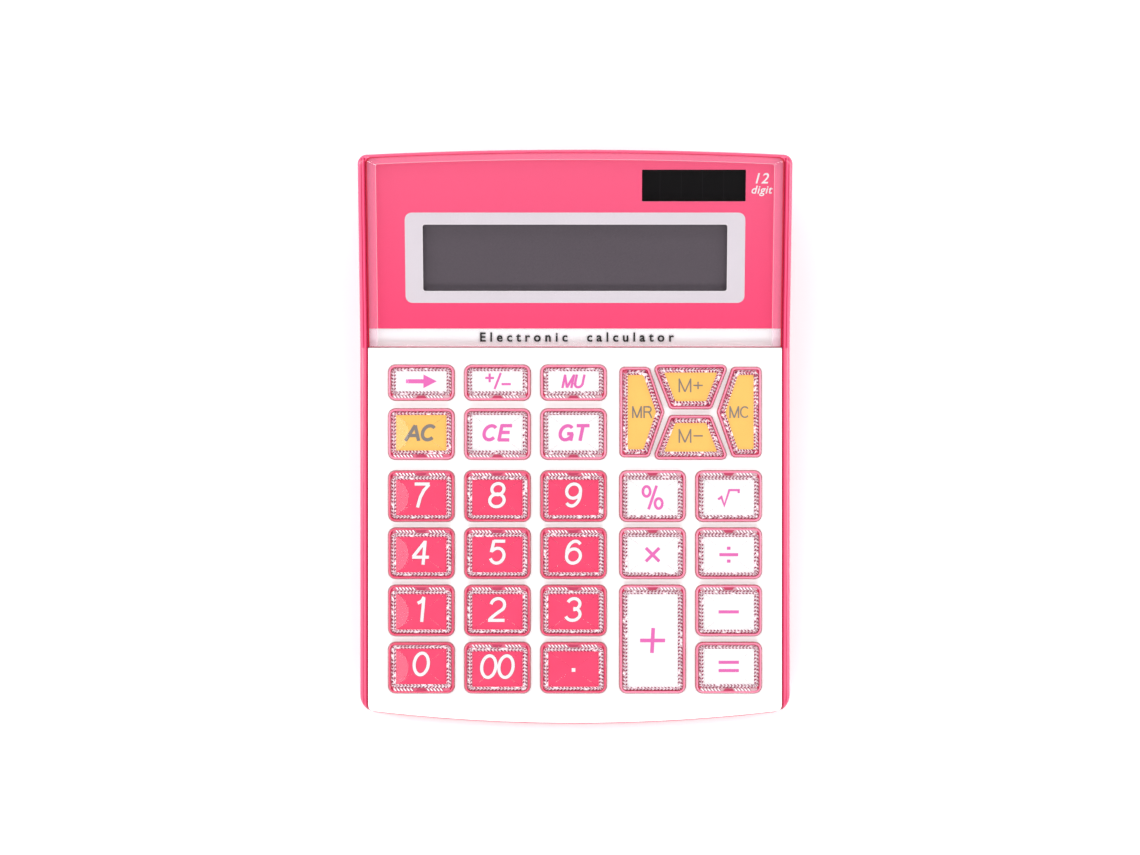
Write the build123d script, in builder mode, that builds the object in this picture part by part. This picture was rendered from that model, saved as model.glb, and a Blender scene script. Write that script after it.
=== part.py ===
"""Desk calculator: a wedge-shaped case in two halves, a tilted display behind the keyboard and
twenty-nine crystal keys over a rubber mat, built as separate pieces.

Millimetres. X points right, Y to the rear, Z up. The origin is on the table, under the middle of
the footprint. Keyboard pieces are drawn on KEYBOARD and display pieces on DISPLAY, the two top
planes of the case: local x is right, local y runs up the slope from the bend between the planes,
and local z is the height above the surface.
"""

from build123d import *

import os
from math import cos, radians, sin, sqrt

# ---------------------------------------------------------------- driving dimensions
CASE_WIDTH = 146.8
KEYBOARD_LENGTH = 128.2  # front edge to the bend, along the slope
DISPLAY_LENGTH = 68.3  # bend to the rear edge, along the slope
KEYBOARD_SLOPE = 5.0
DISPLAY_SLOPE = 17.0
FRONT_HEIGHT = 12.0  # table to the front top edge
FOOT_HEIGHT = 1.2  # gap between the table and the case
FRONT_BOW = 4.2  # how far the front edge bulges over the width of the keyboard
REAR_BOW = 1.6

BASE_WALL = 2.0
RAIL = 2.6  # side walls, whose tops show as rails beside the keyboard
REAR_WALL = 1.2
SEAM = 0.25  # gap between the two halves of the case
FRONT_LIP = 0.3  # how far the lower half stands out in front of the upper half
ROOF = 2.0  # top wall of the upper half over the keyboard
SKIRT = 1.6  # wall round the edge of the upper half
SKIRT_DEPTH = 5.3
RAIL_ROUNDING = 1.7
UNDERSIDE_ROUNDING = 0.8
LOWER_CORNERS = (6.0, 3.2)  # corners of the lower half in plan, front and rear
LOWER_INNER_CORNERS = (2.3, 2.2)
UPPER_CORNER = 2.0
FRONT_NOTCH = 17  # how far back the lower half is cut down for the upper half's skirt

LENS = 2.5
LENS_BEVEL = (3.2, 0.9)  # across and down
PRINT = 0.3
LEDGE = 1.8  # wall of the upper half under the lens
CLEAR_BAND = 6.3  # unprinted front band of the lens

LCD_WINDOW = (103.4, 22.8)
LCD_GLASS = (110.0, 29.0, 2.6)
LCD_ALONG = 30.7  # centre of the window, from the bend
SOLAR_WINDOW = (35.1, 10.8)
SOLAR_PLATE = (38.0, 13.4, 1.2)
SOLAR_CENTRE = (40.2, 55.4)
WINDOW_MARGIN = 1.2  # by how much the ledge's windows are wider than the print's
POLARISER = 0.2
LCD_FRAME_BORDER = (5.0, 4.4)
LCD_FRAME_OPENING = 8.0  # by how much the frame's opening is smaller than the glass
LCD_FRAME_BACK = 1.4
LCD_PIN = 2.1  # length of the pins that carry the display frame

COLUMNS = (-52.4, -26.45, -0.5, 26.45, 52.4)
ROW_PITCH = 19.5
SMALL_ROW = -11.8
CLEAR_ROW = -29.35
DIGIT_ROWS = tuple(-50.5 - ROW_PITCH * step for step in range(4))
KEY_WIDTH = 22.87
KEY_HEIGHT = 17.75
SMALL_KEY_HEIGHT = 12.5
TALL_KEY_HEIGHT = KEY_HEIGHT + ROW_PITCH
KEY_CORNER = 2.7
MEMORY_KEY_CORNER = 1.8
SMALLEST_CORNER = 0.5
MEMORY_PAD = (39.43, -21.85)  # centre of the four memory keys

KEY_PLAY = 0.2  # gap between a key and its opening
FLANGE = 0.4  # how far a key's flange reaches under the roof
FLANGE_THICKNESS = 1.1
KEY_FOOT = -3.2  # underside of the flange
KEY_FLOOR = -0.6  # underside of the key's closed top
CRYSTAL_SEAT = 0.2
KEY_RIM = 1.6  # top of the coloured rim
RIM_WIDTH = 1.3
RIM_ROUNDING = 0.5
POST = 3.4
CRYSTAL_PLAY = 0.05
CRYSTAL_EDGE = 1.9
CRYSTAL_TOP = 3.3
CRYSTAL_BEVEL = 1.5

BOARD_TOP = -6.2
BOARD = 1.6
MAT = 0.8
DOME_TOP = -3.5
DOME_RADII = (5.5, 3.4)  # at its foot and at its top
DOME_WALL = 0.8
DOME_ROOF = 1.0
BOARD_CENTRE = -62.5
BOARD_SIZE = (132, 111)
BOARD_CORNER = 2.0
BOARD_SCREWS = ((-39.42, -19.25), (12.97, -40.0), (-39.42, -60.25), (39.42, -60.25),
                (-39.42, -99.25), (39.42, -79.75))

# ---------------------------------------------------------------- frames worked out from them
SLOPE_K = radians(KEYBOARD_SLOPE)
SLOPE_D = radians(DISPLAY_SLOPE)
DEPTH = KEYBOARD_LENGTH * cos(SLOPE_K) + DISPLAY_LENGTH * cos(SLOPE_D)
FRONT_Y = -DEPTH / 2
REAR_Y = DEPTH / 2
BEND_Y = FRONT_Y + KEYBOARD_LENGTH * cos(SLOPE_K)
BEND_Z = FRONT_HEIGHT + KEYBOARD_LENGTH * sin(SLOPE_K)
HALF_WIDTH = CASE_WIDTH / 2
INNER_HALF = HALF_WIDTH - RAIL
UPPER_HALF = INNER_HALF - SEAM
FLOOR = FOOT_HEIGHT + BASE_WALL
LEDGE_TOP = -(LENS + PRINT)
LEDGE_UNDER = LEDGE_TOP - LEDGE

KEYBOARD = Plane(origin=(0, BEND_Y, BEND_Z), x_dir=(1, 0, 0), z_dir=(0, -sin(SLOPE_K), cos(SLOPE_K)))
DISPLAY = Plane(origin=(0, BEND_Y, BEND_Z), x_dir=(1, 0, 0), z_dir=(0, -sin(SLOPE_D), cos(SLOPE_D)))
FAR = 150  # past either end of the case
TALL = 60  # taller than the case

# ---------------------------------------------------------------- fasteners, feet and battery
CASE_SHANK = (2.2, 6.5)  # diameter and length
CASE_HEAD = (4.4, 1.6)
BOSS = 7.0
UPPER_BOSS = 5.6
# across, from the bend, head seat and the height where the two bosses meet
CASE_SCREWS = (
    (39.4, -121.2, 3.7, 6.8),
    (62.0, 3.0, 9.0, 12.0),
    (64.0, 57.4, 21.0, 24.0),
)
SMALL_SHANK = (1.6, 4.0)
SMALL_HEAD = (3.2, 1.2)
PIN = 3.8
PILOT = 0.03  # by how much a screw's blind hole is larger than its shank, in radius
HEAD_PLAY = 0.3
SHANK_PLAY = 0.2
LCD_SCREWS = ((-62.0, 20.0), (62.0, 20.0), (-62.0, 41.0), (62.0, 41.0))

FOOT = 10.0
FOOT_RECESS = 0.6
FOOT_PLAY = 0.15
FEET = ((-60, -82), (60, -82), (-50, 86), (50, 86))

CELL = (14.2, 49.5)  # AA cell: diameter and length of the body
CELL_NUB = (5.5, 1.0)
CELL_START = -23.0
CELL_HEIGHT = 10.5  # axis above the table
BAY = (61.0, 16.8)
BAY_Y = 83.0
BAY_TOP = 18.2
BAY_WALL = 1.6
CONTACT = 0.4
CONTACT_WIDTH = 11
TAB_WIDTH = 4
TAB_RISE = 2.4  # how far a solder tab stands above the bay

DOOR_WIDTH = 64.0
DOOR_FRONT = BAY_Y - BAY[1] / 2 - 2.0
DOOR = 1.7
DOOR_PLAY = 0.15
TONGUE = 1.2
LIP = 0.7  # wall left under the door's tongues
DOOR_FLOOR = DOOR + 1.6  # thickness of the case round the door
DOOR_BORDER = 2.4


def on_slope(slope, along, height):
    """(Y, Z) of a point `along` up the slope from the bend and `height` above the surface."""
    return (
        BEND_Y + along * cos(slope) - height * sin(slope),
        BEND_Z + along * sin(slope) + height * cos(slope),
    )


def bow(sagitta, x):
    """How far an edge that bulges by `sagitta` over the keyboard's width has fallen back at x."""
    radius = (UPPER_HALF**2 + sagitta**2) / (2 * sagitta)
    return radius - sqrt(radius**2 - x**2)


def footprint(half, front, rear, front_corner, rear_corner):
    """The case's bowed outline with half width `half`, set in from its front and rear edges."""
    low = FRONT_Y + front
    high = REAR_Y - rear
    low_end = low + bow(FRONT_BOW, half)
    high_end = high - bow(REAR_BOW, half)
    with BuildSketch() as outline:
        with BuildLine():
            ThreePointArc((-half, low_end), (0, low), (half, low_end))
            Line((half, low_end), (half, high_end))
            ThreePointArc((half, high_end), (0, high), (-half, high_end))
            Line((-half, high_end), (-half, low_end))
        make_face()
        if front_corner:
            fillet(outline.vertices().group_by(Axis.Y)[0], front_corner)
        if rear_corner:
            fillet(outline.vertices().group_by(Axis.Y)[-1], rear_corner)
    return outline.sketch


def upper_footprint(inset):
    """Outline of the upper half of the case, set in all round by `inset`."""
    corner = max(UPPER_CORNER - inset, 0.4)
    return footprint(UPPER_HALF - inset, FRONT_LIP + inset, REAR_WALL + SEAM + inset, corner, corner)


def below(slope, height):
    """Side view of everything below a plane set `height` above a slope's surface."""
    with BuildSketch() as side:
        with BuildLine():
            Polyline(
                on_slope(slope, -FAR, height),
                on_slope(slope, FAR, height),
                (BEND_Y + 2 * FAR, -FAR),
                (BEND_Y - 2 * FAR, -FAR),
                close=True,
            )
        make_face()
    return side.sketch


def upright(outline, low, high):
    """An outline as an upright solid between two heights above the table."""
    return extrude(Pos(0, 0, low) * outline, amount=high - low)


def across(side):
    """A side view as a solid through the whole width of the case."""
    return extrude(Plane.YZ * side, amount=CASE_WIDTH, both=True)


# ---------------------------------------------------------------- key outlines
def plain_key(width, height):
    """Outline of a rectangular key opening, as a function of how far it is set in."""

    def outline(inset):
        with BuildSketch() as shape:
            RectangleRounded(width - 2 * inset, height - 2 * inset, max(KEY_CORNER - inset, SMALLEST_CORNER))
        return shape.sketch

    return outline


def cut_key(*corners):
    """Outline of a key with slanted sides, as a function of how far it is set in."""

    def outline(inset):
        with BuildSketch() as shape:
            with BuildLine():
                Polyline(*corners, close=True)
            make_face()
            offset(amount=-inset, kind=Kind.INTERSECTION)
            fillet(shape.vertices(), max(MEMORY_KEY_CORNER - inset, SMALLEST_CORNER))
        return shape.sketch

    return outline


NORMAL = plain_key(KEY_WIDTH, KEY_HEIGHT)
SMALL = plain_key(KEY_WIDTH, SMALL_KEY_HEIGHT)
TALL_KEY = plain_key(KEY_WIDTH, TALL_KEY_HEIGHT)
# the memory keys: a trapezoid with its short side to the pad's middle, and a five-sided side key
TRAPEZOID = cut_key((-13.2, 7.7), (13.2, 7.7), (7.2, -7.7), (-7.2, -7.7))
SIDE_KEY = cut_key((-7.7, 15.5), (2.5, 15.5), (7.8, 0), (2.5, -15.5), (-7.7, -15.5))


def turned(outline, angle):
    """The same outline turned about its middle."""
    return lambda inset: Rot(0, 0, angle) * outline(inset)


KEYS = {
    "key_backspace": (COLUMNS[0], SMALL_ROW, SMALL),
    "key_sign": (COLUMNS[1], SMALL_ROW, SMALL),
    "key_mu": (COLUMNS[2], SMALL_ROW, SMALL),
    "key_ac": (COLUMNS[0], CLEAR_ROW, NORMAL),
    "key_ce": (COLUMNS[1], CLEAR_ROW, NORMAL),
    "key_gt": (COLUMNS[2], CLEAR_ROW, NORMAL),
    "key_mr": (MEMORY_PAD[0] - 16.6, MEMORY_PAD[1], SIDE_KEY),
    "key_mc": (MEMORY_PAD[0] + 16.6, MEMORY_PAD[1], turned(SIDE_KEY, 180)),
    "key_m_plus": (MEMORY_PAD[0], MEMORY_PAD[1] + 8.6, TRAPEZOID),
    "key_m_minus": (MEMORY_PAD[0], MEMORY_PAD[1] - 8.6, turned(TRAPEZOID, 180)),
    "key_percent": (COLUMNS[3], DIGIT_ROWS[0], NORMAL),
    "key_root": (COLUMNS[4], DIGIT_ROWS[0], NORMAL),
    "key_multiply": (COLUMNS[3], DIGIT_ROWS[1], NORMAL),
    "key_divide": (COLUMNS[4], DIGIT_ROWS[1], NORMAL),
    "key_plus": (COLUMNS[3], (DIGIT_ROWS[2] + DIGIT_ROWS[3]) / 2, TALL_KEY),
    "key_minus": (COLUMNS[4], DIGIT_ROWS[2], NORMAL),
    "key_equals": (COLUMNS[4], DIGIT_ROWS[3], NORMAL),
    "key_0": (COLUMNS[0], DIGIT_ROWS[3], NORMAL),
    "key_00": (COLUMNS[1], DIGIT_ROWS[3], NORMAL),
    "key_point": (COLUMNS[2], DIGIT_ROWS[3], NORMAL),
}
for digit in range(1, 10):
    KEYS[f"key_{digit}"] = (COLUMNS[(digit - 1) % 3], DIGIT_ROWS[2 - (digit - 1) // 3], NORMAL)

os.makedirs("parts", exist_ok=True)

# ---------------------------------------------------------------- lower half of the case
RECESS_LENGTH = REAR_Y + 5 - DOOR_FRONT + DOOR_PLAY  # runs out past the rear edge
RECESS_Y = DOOR_FRONT - DOOR_PLAY + RECESS_LENGTH / 2

with BuildPart() as bottom_case:
    with BuildSketch(Plane.XY.offset(FOOT_HEIGHT)):
        add(footprint(HALF_WIDTH, 0, 0, *LOWER_CORNERS))
    extrude(amount=TALL)
    with BuildSketch(Plane.YZ):
        add(below(SLOPE_K, 0))
        add(below(SLOPE_D, 0))
    extrude(amount=CASE_WIDTH, both=True, mode=Mode.INTERSECT)
    top_faces = bottom_case.faces().filter_by(lambda face: face.normal_at().Z > 0.5)
    rim = top_faces.edges().filter_by(lambda edge: abs(edge.center().Y - BEND_Y) > 1)
    fillet(rim, RAIL_ROUNDING)
    fillet(bottom_case.edges().group_by(Axis.Z)[0], UNDERSIDE_ROUNDING)
    # open inside; the front wall stops under the upper half's skirt
    with BuildSketch(Plane.XY.offset(FLOOR)):
        add(footprint(INNER_HALF, BASE_WALL, REAR_WALL, *LOWER_INNER_CORNERS))
    extrude(amount=TALL, mode=Mode.SUBTRACT)
    with BuildSketch(Plane.XY.offset(FRONT_HEIGHT - SKIRT_DEPTH - SEAM)):
        with Locations((0, FRONT_Y)):
            Rectangle(2 * INNER_HALF, FRONT_NOTCH)
    extrude(amount=TALL, mode=Mode.SUBTRACT)
    # bosses for the case screws
    for x, along, seat, meet in CASE_SCREWS:
        with BuildSketch(Plane.XY.offset(FOOT_HEIGHT)):
            with Locations((-x, BEND_Y + along), (x, BEND_Y + along)):
                Circle(BOSS / 2)
        extrude(amount=meet - FOOT_HEIGHT)
        with BuildSketch(Plane.XY.offset(FOOT_HEIGHT)):
            with Locations((-x, BEND_Y + along), (x, BEND_Y + along)):
                Circle(CASE_HEAD[0] / 2 + HEAD_PLAY)
        extrude(amount=seat - FOOT_HEIGHT, mode=Mode.SUBTRACT)
        with BuildSketch(Plane.XY.offset(seat)):
            with Locations((-x, BEND_Y + along), (x, BEND_Y + along)):
                Circle(CASE_SHANK[0] / 2 + HEAD_PLAY)
        extrude(amount=meet - seat, mode=Mode.SUBTRACT)
    # battery bay, with a floor thick enough for the door's grooves
    with BuildSketch(Plane.XY.offset(FOOT_HEIGHT)):
        with Locations((0, (DOOR_FRONT - DOOR_BORDER + REAR_Y - BASE_WALL) / 2)):
            Rectangle(DOOR_WIDTH + 2 * TONGUE + 4, REAR_Y - BASE_WALL - DOOR_FRONT + DOOR_BORDER)
    extrude(amount=DOOR_FLOOR)
    with BuildSketch(Plane.XY.offset(FOOT_HEIGHT)):
        with Locations((0, BAY_Y)):
            Rectangle(BAY[0] + 2 * BAY_WALL, BAY[1] + 2 * BAY_WALL)
    extrude(amount=BAY_TOP + BAY_WALL - FOOT_HEIGHT)
    with BuildSketch(Plane.XY):
        with Locations((0, BAY_Y)):
            Rectangle(*BAY)
    extrude(amount=BAY_TOP, mode=Mode.SUBTRACT)
    # slots for the two contacts' solder tabs
    with BuildSketch(Plane.XY.offset(BAY_TOP)):
        with Locations((-BAY[0] / 2 + 0.5, BAY_Y), (BAY[0] / 2 - 0.5, BAY_Y)):
            Rectangle(1.0, TAB_WIDTH + 0.6)
    extrude(amount=BAY_WALL, mode=Mode.SUBTRACT)
    # recess for the door, open at the rear, with a groove down each side
    with BuildSketch(Plane.XY):
        with Locations((0, RECESS_Y)):
            Rectangle(DOOR_WIDTH + 2 * DOOR_PLAY, RECESS_LENGTH)
    extrude(amount=FOOT_HEIGHT + DOOR + DOOR_PLAY, mode=Mode.SUBTRACT)
    with BuildSketch(Plane.XY.offset(FOOT_HEIGHT + LIP)):
        with Locations((0, RECESS_Y)):
            Rectangle(DOOR_WIDTH + 2 * (TONGUE + DOOR_PLAY), RECESS_LENGTH)
    extrude(amount=DOOR + DOOR_PLAY - LIP, mode=Mode.SUBTRACT)
    # shallow seats for the feet
    with BuildSketch(Plane.XY.offset(FOOT_HEIGHT)):
        with Locations(*FEET):
            Circle(FOOT / 2 + FOOT_PLAY)
    extrude(amount=FOOT_RECESS, mode=Mode.SUBTRACT)

# ---------------------------------------------------------------- upper half of the case
# hollow underneath: roof over the keys, step at the bend, ledge under the lens
STEP_WALL = 1.7
with BuildSketch() as hollow_side:
    with BuildLine():
        Polyline(
            on_slope(SLOPE_K, -FAR, -ROOF),
            on_slope(SLOPE_K, -STEP_WALL, -ROOF),
            on_slope(SLOPE_D, -STEP_WALL, LEDGE_UNDER),
            on_slope(SLOPE_D, FAR, LEDGE_UNDER),
            (BEND_Y + FAR, -FAR),
            (BEND_Y - FAR, -FAR),
            close=True,
        )
    make_face()
hollow = across(hollow_side.sketch) & upright(upper_footprint(SKIRT), -TALL, TALL)

# bosses for the case screws, which end inside the roof or the ledge
upper_bosses = []
for x, along, seat, meet in CASE_SCREWS:
    if along < 0:
        limit = across(below(SLOPE_K, -ROOF / 2))
    else:
        limit = across(below(SLOPE_D, LEDGE_TOP - LEDGE / 2))
    for side in (-1, 1):
        column = Cylinder(UPPER_BOSS / 2, TALL, align=(Align.CENTER, Align.CENTER, Align.MIN))
        upper_bosses.append(Pos(side * x, BEND_Y + along, meet) * column & limit)

with BuildPart() as top_case:
    with BuildSketch(Plane.XY):
        add(upper_footprint(0))
    extrude(amount=TALL)
    with BuildSketch(Plane.YZ):
        with BuildLine():
            Polyline(
                on_slope(SLOPE_K, -FAR, 0),
                on_slope(SLOPE_K, 0, 0),
                on_slope(SLOPE_D, 0, LEDGE_TOP),
                on_slope(SLOPE_D, FAR, LEDGE_TOP),
                on_slope(SLOPE_D, FAR, LEDGE_UNDER - SKIRT_DEPTH),
                on_slope(SLOPE_D, 0, LEDGE_UNDER - SKIRT_DEPTH / 2),
                on_slope(SLOPE_K, -6, -SKIRT_DEPTH),
                on_slope(SLOPE_K, -FAR, -SKIRT_DEPTH),
                close=True,
            )
        make_face()
    extrude(amount=CASE_WIDTH, both=True, mode=Mode.INTERSECT)
    add(hollow, mode=Mode.SUBTRACT)
    add(upper_bosses)
    for x, along, seat, meet in CASE_SCREWS:
        with BuildSketch(Plane.XY.offset(meet)):
            with Locations((-x, BEND_Y + along), (x, BEND_Y + along)):
                Circle(CASE_SHANK[0] / 2 + PILOT)
        extrude(amount=seat + CASE_SHANK[1] + 0.15 - meet, mode=Mode.SUBTRACT)
    # pins that carry the board and the display frame
    with BuildSketch(KEYBOARD.offset(BOARD_TOP)):
        with Locations(*BOARD_SCREWS):
            Circle(PIN / 2)
    extrude(amount=-ROOF / 2 - BOARD_TOP)
    with BuildSketch(KEYBOARD.offset(BOARD_TOP)):
        with Locations(*BOARD_SCREWS):
            Circle(SMALL_SHANK[0] / 2 + PILOT)
    extrude(amount=SMALL_SHANK[1] - BOARD + 0.2, mode=Mode.SUBTRACT)
    with BuildSketch(DISPLAY.offset(LEDGE_UNDER - LCD_PIN)):
        with Locations(*LCD_SCREWS):
            Circle(PIN / 2)
    extrude(amount=LCD_PIN + LEDGE / 2)
    with BuildSketch(DISPLAY.offset(LEDGE_UNDER - LCD_PIN)):
        with Locations(*LCD_SCREWS):
            Circle(SMALL_SHANK[0] / 2 + PILOT)
    extrude(amount=LCD_PIN + 0.1, mode=Mode.SUBTRACT)
    # one opening for each key
    for u, v, shape in KEYS.values():
        with BuildSketch(KEYBOARD.offset(-ROOF - 0.5)):
            add(Pos(u, v) * shape(0))
        extrude(amount=ROOF + 1.0, mode=Mode.SUBTRACT)
    # windows for the display and the solar cell
    with BuildSketch(DISPLAY.offset(LEDGE_UNDER - 0.5)):
        with Locations((0, LCD_ALONG)):
            Rectangle(LCD_WINDOW[0] + WINDOW_MARGIN, LCD_WINDOW[1] + WINDOW_MARGIN)
        with Locations(SOLAR_CENTRE):
            Rectangle(SOLAR_WINDOW[0] + WINDOW_MARGIN, SOLAR_WINDOW[1] + WINDOW_MARGIN)
    extrude(amount=LEDGE + 1.0, mode=Mode.SUBTRACT)

# ---------------------------------------------------------------- lens and the printed sheet
lens_column = upright(footprint(UPPER_HALF - 0.05, 0, REAR_WALL + SEAM + 0.05, 0, 0), -TALL, TALL)
lens_corners = upright(upper_footprint(0.05), -TALL, TALL)
print_column = upright(upper_footprint(0.2), -TALL, TALL)

with BuildPart() as display_lens:
    with BuildSketch(DISPLAY.offset(-LENS)):
        with Locations((0, 0.15 + FAR / 2)):
            Rectangle(CASE_WIDTH, FAR)
    extrude(amount=LENS)
    add(lens_column, mode=Mode.INTERSECT)
    lens_top = display_lens.faces().sort_by(Axis((0, 0, 0), DISPLAY.z_dir))[-1]
    bevelled = lens_top.edges().filter_by(lambda edge: edge.center().Y > BEND_Y + 5)
    chamfer(bevelled, LENS_BEVEL[0], LENS_BEVEL[1], reference=lens_top)
    # rounded corners, to fit inside the lower half's rear corners
    add(lens_corners, mode=Mode.INTERSECT)

with BuildPart() as display_mask:
    with BuildSketch(DISPLAY.offset(LEDGE_TOP)):
        with Locations((0, CLEAR_BAND + FAR / 2)):
            Rectangle(CASE_WIDTH, FAR)
    extrude(amount=PRINT)
    add(print_column, mode=Mode.INTERSECT)
    with BuildSketch(DISPLAY.offset(LEDGE_TOP)):
        with Locations((0, LCD_ALONG)):
            RectangleRounded(*LCD_WINDOW, 0.8)
        with Locations(SOLAR_CENTRE):
            Rectangle(*SOLAR_WINDOW)
    extrude(amount=PRINT, mode=Mode.SUBTRACT)

# ---------------------------------------------------------------- display and solar cell
LCD_BACK = LEDGE_UNDER - 0.1 - LCD_GLASS[2]
FRAME_BACK = LCD_BACK - LCD_FRAME_BACK

with BuildPart() as lcd_panel:
    with BuildSketch(DISPLAY.offset(LCD_BACK)):
        with Locations((0, LCD_ALONG)):
            Rectangle(LCD_GLASS[0], LCD_GLASS[1])
    extrude(amount=LCD_GLASS[2] - POLARISER)
    # the front polariser is a little smaller than the glass
    with BuildSketch(DISPLAY.offset(LCD_BACK + LCD_GLASS[2] - POLARISER)):
        with Locations((0, LCD_ALONG)):
            Rectangle(LCD_GLASS[0] - 2, LCD_GLASS[1] - 2)
    extrude(amount=POLARISER)

with BuildPart() as lcd_frame:
    with BuildSketch(DISPLAY.offset(FRAME_BACK)):
        with Locations((0, LCD_ALONG)):
            Rectangle(LCD_GLASS[0] + LCD_FRAME_BORDER[0], LCD_GLASS[1] + LCD_FRAME_BORDER[1])
    extrude(amount=LEDGE_UNDER - 0.1 - FRAME_BACK)
    with BuildSketch(DISPLAY.offset(LCD_BACK)):
        with Locations((0, LCD_ALONG)):
            Rectangle(LCD_GLASS[0] + 0.3, LCD_GLASS[1] + 0.3)
    extrude(amount=LCD_GLASS[2] + 1, mode=Mode.SUBTRACT)
    with BuildSketch(DISPLAY.offset(FRAME_BACK)):
        with Locations((0, LCD_ALONG)):
            Rectangle(LCD_GLASS[0] - LCD_FRAME_OPENING, LCD_GLASS[1] - LCD_FRAME_OPENING)
    extrude(amount=3, mode=Mode.SUBTRACT)
    # an ear under each pin
    with BuildSketch(DISPLAY.offset(FRAME_BACK)):
        for x, along in LCD_SCREWS:
            with Locations((x * 0.975, along)):
                Rectangle(8.4, 5)
    extrude(amount=LEDGE_UNDER - LCD_PIN - 0.05 - FRAME_BACK)
    with BuildSketch(DISPLAY.offset(FRAME_BACK)):
        with Locations((0, LCD_ALONG)):
            Rectangle(LCD_GLASS[0] - LCD_FRAME_OPENING, LCD_GLASS[1] - LCD_FRAME_OPENING)
        with Locations(*LCD_SCREWS):
            Circle(SMALL_SHANK[0] / 2 + SHANK_PLAY)
    extrude(amount=3, mode=Mode.SUBTRACT)

with BuildPart() as solar_cell:
    with BuildSketch(DISPLAY.offset(LEDGE_UNDER - 0.1)):
        with Locations(SOLAR_CENTRE):
            Rectangle(SOLAR_PLATE[0], SOLAR_PLATE[1])
    extrude(amount=-SOLAR_PLATE[2])

# ---------------------------------------------------------------- board, rubber mat and keys
with BuildPart() as main_board:
    with BuildSketch(KEYBOARD.offset(BOARD_TOP)):
        with Locations((0, BOARD_CENTRE)):
            RectangleRounded(*BOARD_SIZE, BOARD_CORNER)
        with Locations(*BOARD_SCREWS):
            Circle(SMALL_SHANK[0] / 2 + SHANK_PLAY, mode=Mode.SUBTRACT)
    extrude(amount=-BOARD)

with BuildPart() as keymat:
    with BuildSketch(KEYBOARD.offset(BOARD_TOP)):
        with Locations((0, BOARD_CENTRE)):
            RectangleRounded(BOARD_SIZE[0] - 1, BOARD_SIZE[1] - 1, BOARD_CORNER)
        with Locations(*BOARD_SCREWS):
            Circle(PIN / 2 + 0.4, mode=Mode.SUBTRACT)
    extrude(amount=MAT)
    dome_height = DOME_TOP - BOARD_TOP - MAT
    dome_inside = DOME_RADII[0] - DOME_WALL
    for u, v, shape in KEYS.values():
        with Locations(KEYBOARD.location * Pos(u, v, BOARD_TOP + MAT)):
            Cone(*DOME_RADII, dome_height, align=(Align.CENTER, Align.CENTER, Align.MIN))
    for u, v, shape in KEYS.values():
        with Locations(KEYBOARD.location * Pos(u, v, BOARD_TOP)):
            Cylinder(dome_inside, MAT, align=(Align.CENTER, Align.CENTER, Align.MIN), mode=Mode.SUBTRACT)
        with Locations(KEYBOARD.location * Pos(u, v, BOARD_TOP + MAT)):
            Cone(dome_inside, 3.0, dome_height - DOME_ROOF, align=(Align.CENTER, Align.CENTER, Align.MIN),
                 mode=Mode.SUBTRACT)


def key(name, u, v, shape):
    """One key: a hollow coloured base with a flange, and a bevelled crystal pressed into its rim."""
    with BuildPart() as base:
        with BuildSketch(Plane.XY.offset(KEY_FOOT)):
            add(shape(-FLANGE))
        extrude(amount=FLANGE_THICKNESS)
        with BuildSketch(Plane.XY.offset(KEY_FOOT)):
            add(shape(KEY_PLAY))
        extrude(amount=KEY_RIM - KEY_FOOT)
        fillet(base.faces().sort_by(Axis.Z)[-1].edges(), RIM_ROUNDING)
        with BuildSketch(Plane.XY.offset(KEY_FOOT)):
            add(shape(KEY_PLAY + RIM_WIDTH))
        extrude(amount=KEY_FLOOR - KEY_FOOT, mode=Mode.SUBTRACT)
        with BuildSketch(Plane.XY.offset(CRYSTAL_SEAT)):
            add(shape(KEY_PLAY + RIM_WIDTH))
        extrude(amount=KEY_RIM, mode=Mode.SUBTRACT)
        # the post that presses the dome
        with BuildSketch(Plane.XY.offset(DOME_TOP + 0.1)):
            Circle(POST / 2)
        extrude(amount=KEY_FLOOR + 0.2 - DOME_TOP)
    with BuildPart() as crystal:
        with BuildSketch(Plane.XY.offset(CRYSTAL_SEAT)):
            add(shape(KEY_PLAY + RIM_WIDTH + CRYSTAL_PLAY))
        extrude(amount=CRYSTAL_EDGE - CRYSTAL_SEAT)
        with BuildSketch(Plane.XY.offset(CRYSTAL_EDGE)):
            add(shape(KEY_PLAY + RIM_WIDTH + CRYSTAL_PLAY))
        with BuildSketch(Plane.XY.offset(CRYSTAL_TOP)):
            add(shape(KEY_PLAY + RIM_WIDTH + CRYSTAL_PLAY + CRYSTAL_BEVEL))
        loft()
    place = KEYBOARD.location * Pos(u, v, 0)
    group = Compound(children=[place * base.part.solid(), place * crystal.part.solid()])
    group.label = name
    export_step(group, f"parts/{name}.step")


for name, (u, v, shape) in KEYS.items():
    key(name, u, v, shape)

# ---------------------------------------------------------------- on and round the board
BOARD_UNDER = BOARD_TOP - BOARD

with BuildPart() as controller_blob:
    with BuildSketch(KEYBOARD.offset(BOARD_UNDER)):
        with Locations((-13.5, -22)):
            Circle(7)
    extrude(amount=-1.6)
    fillet(controller_blob.edges().group_by(Axis.Z)[0], 1.1)

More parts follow.
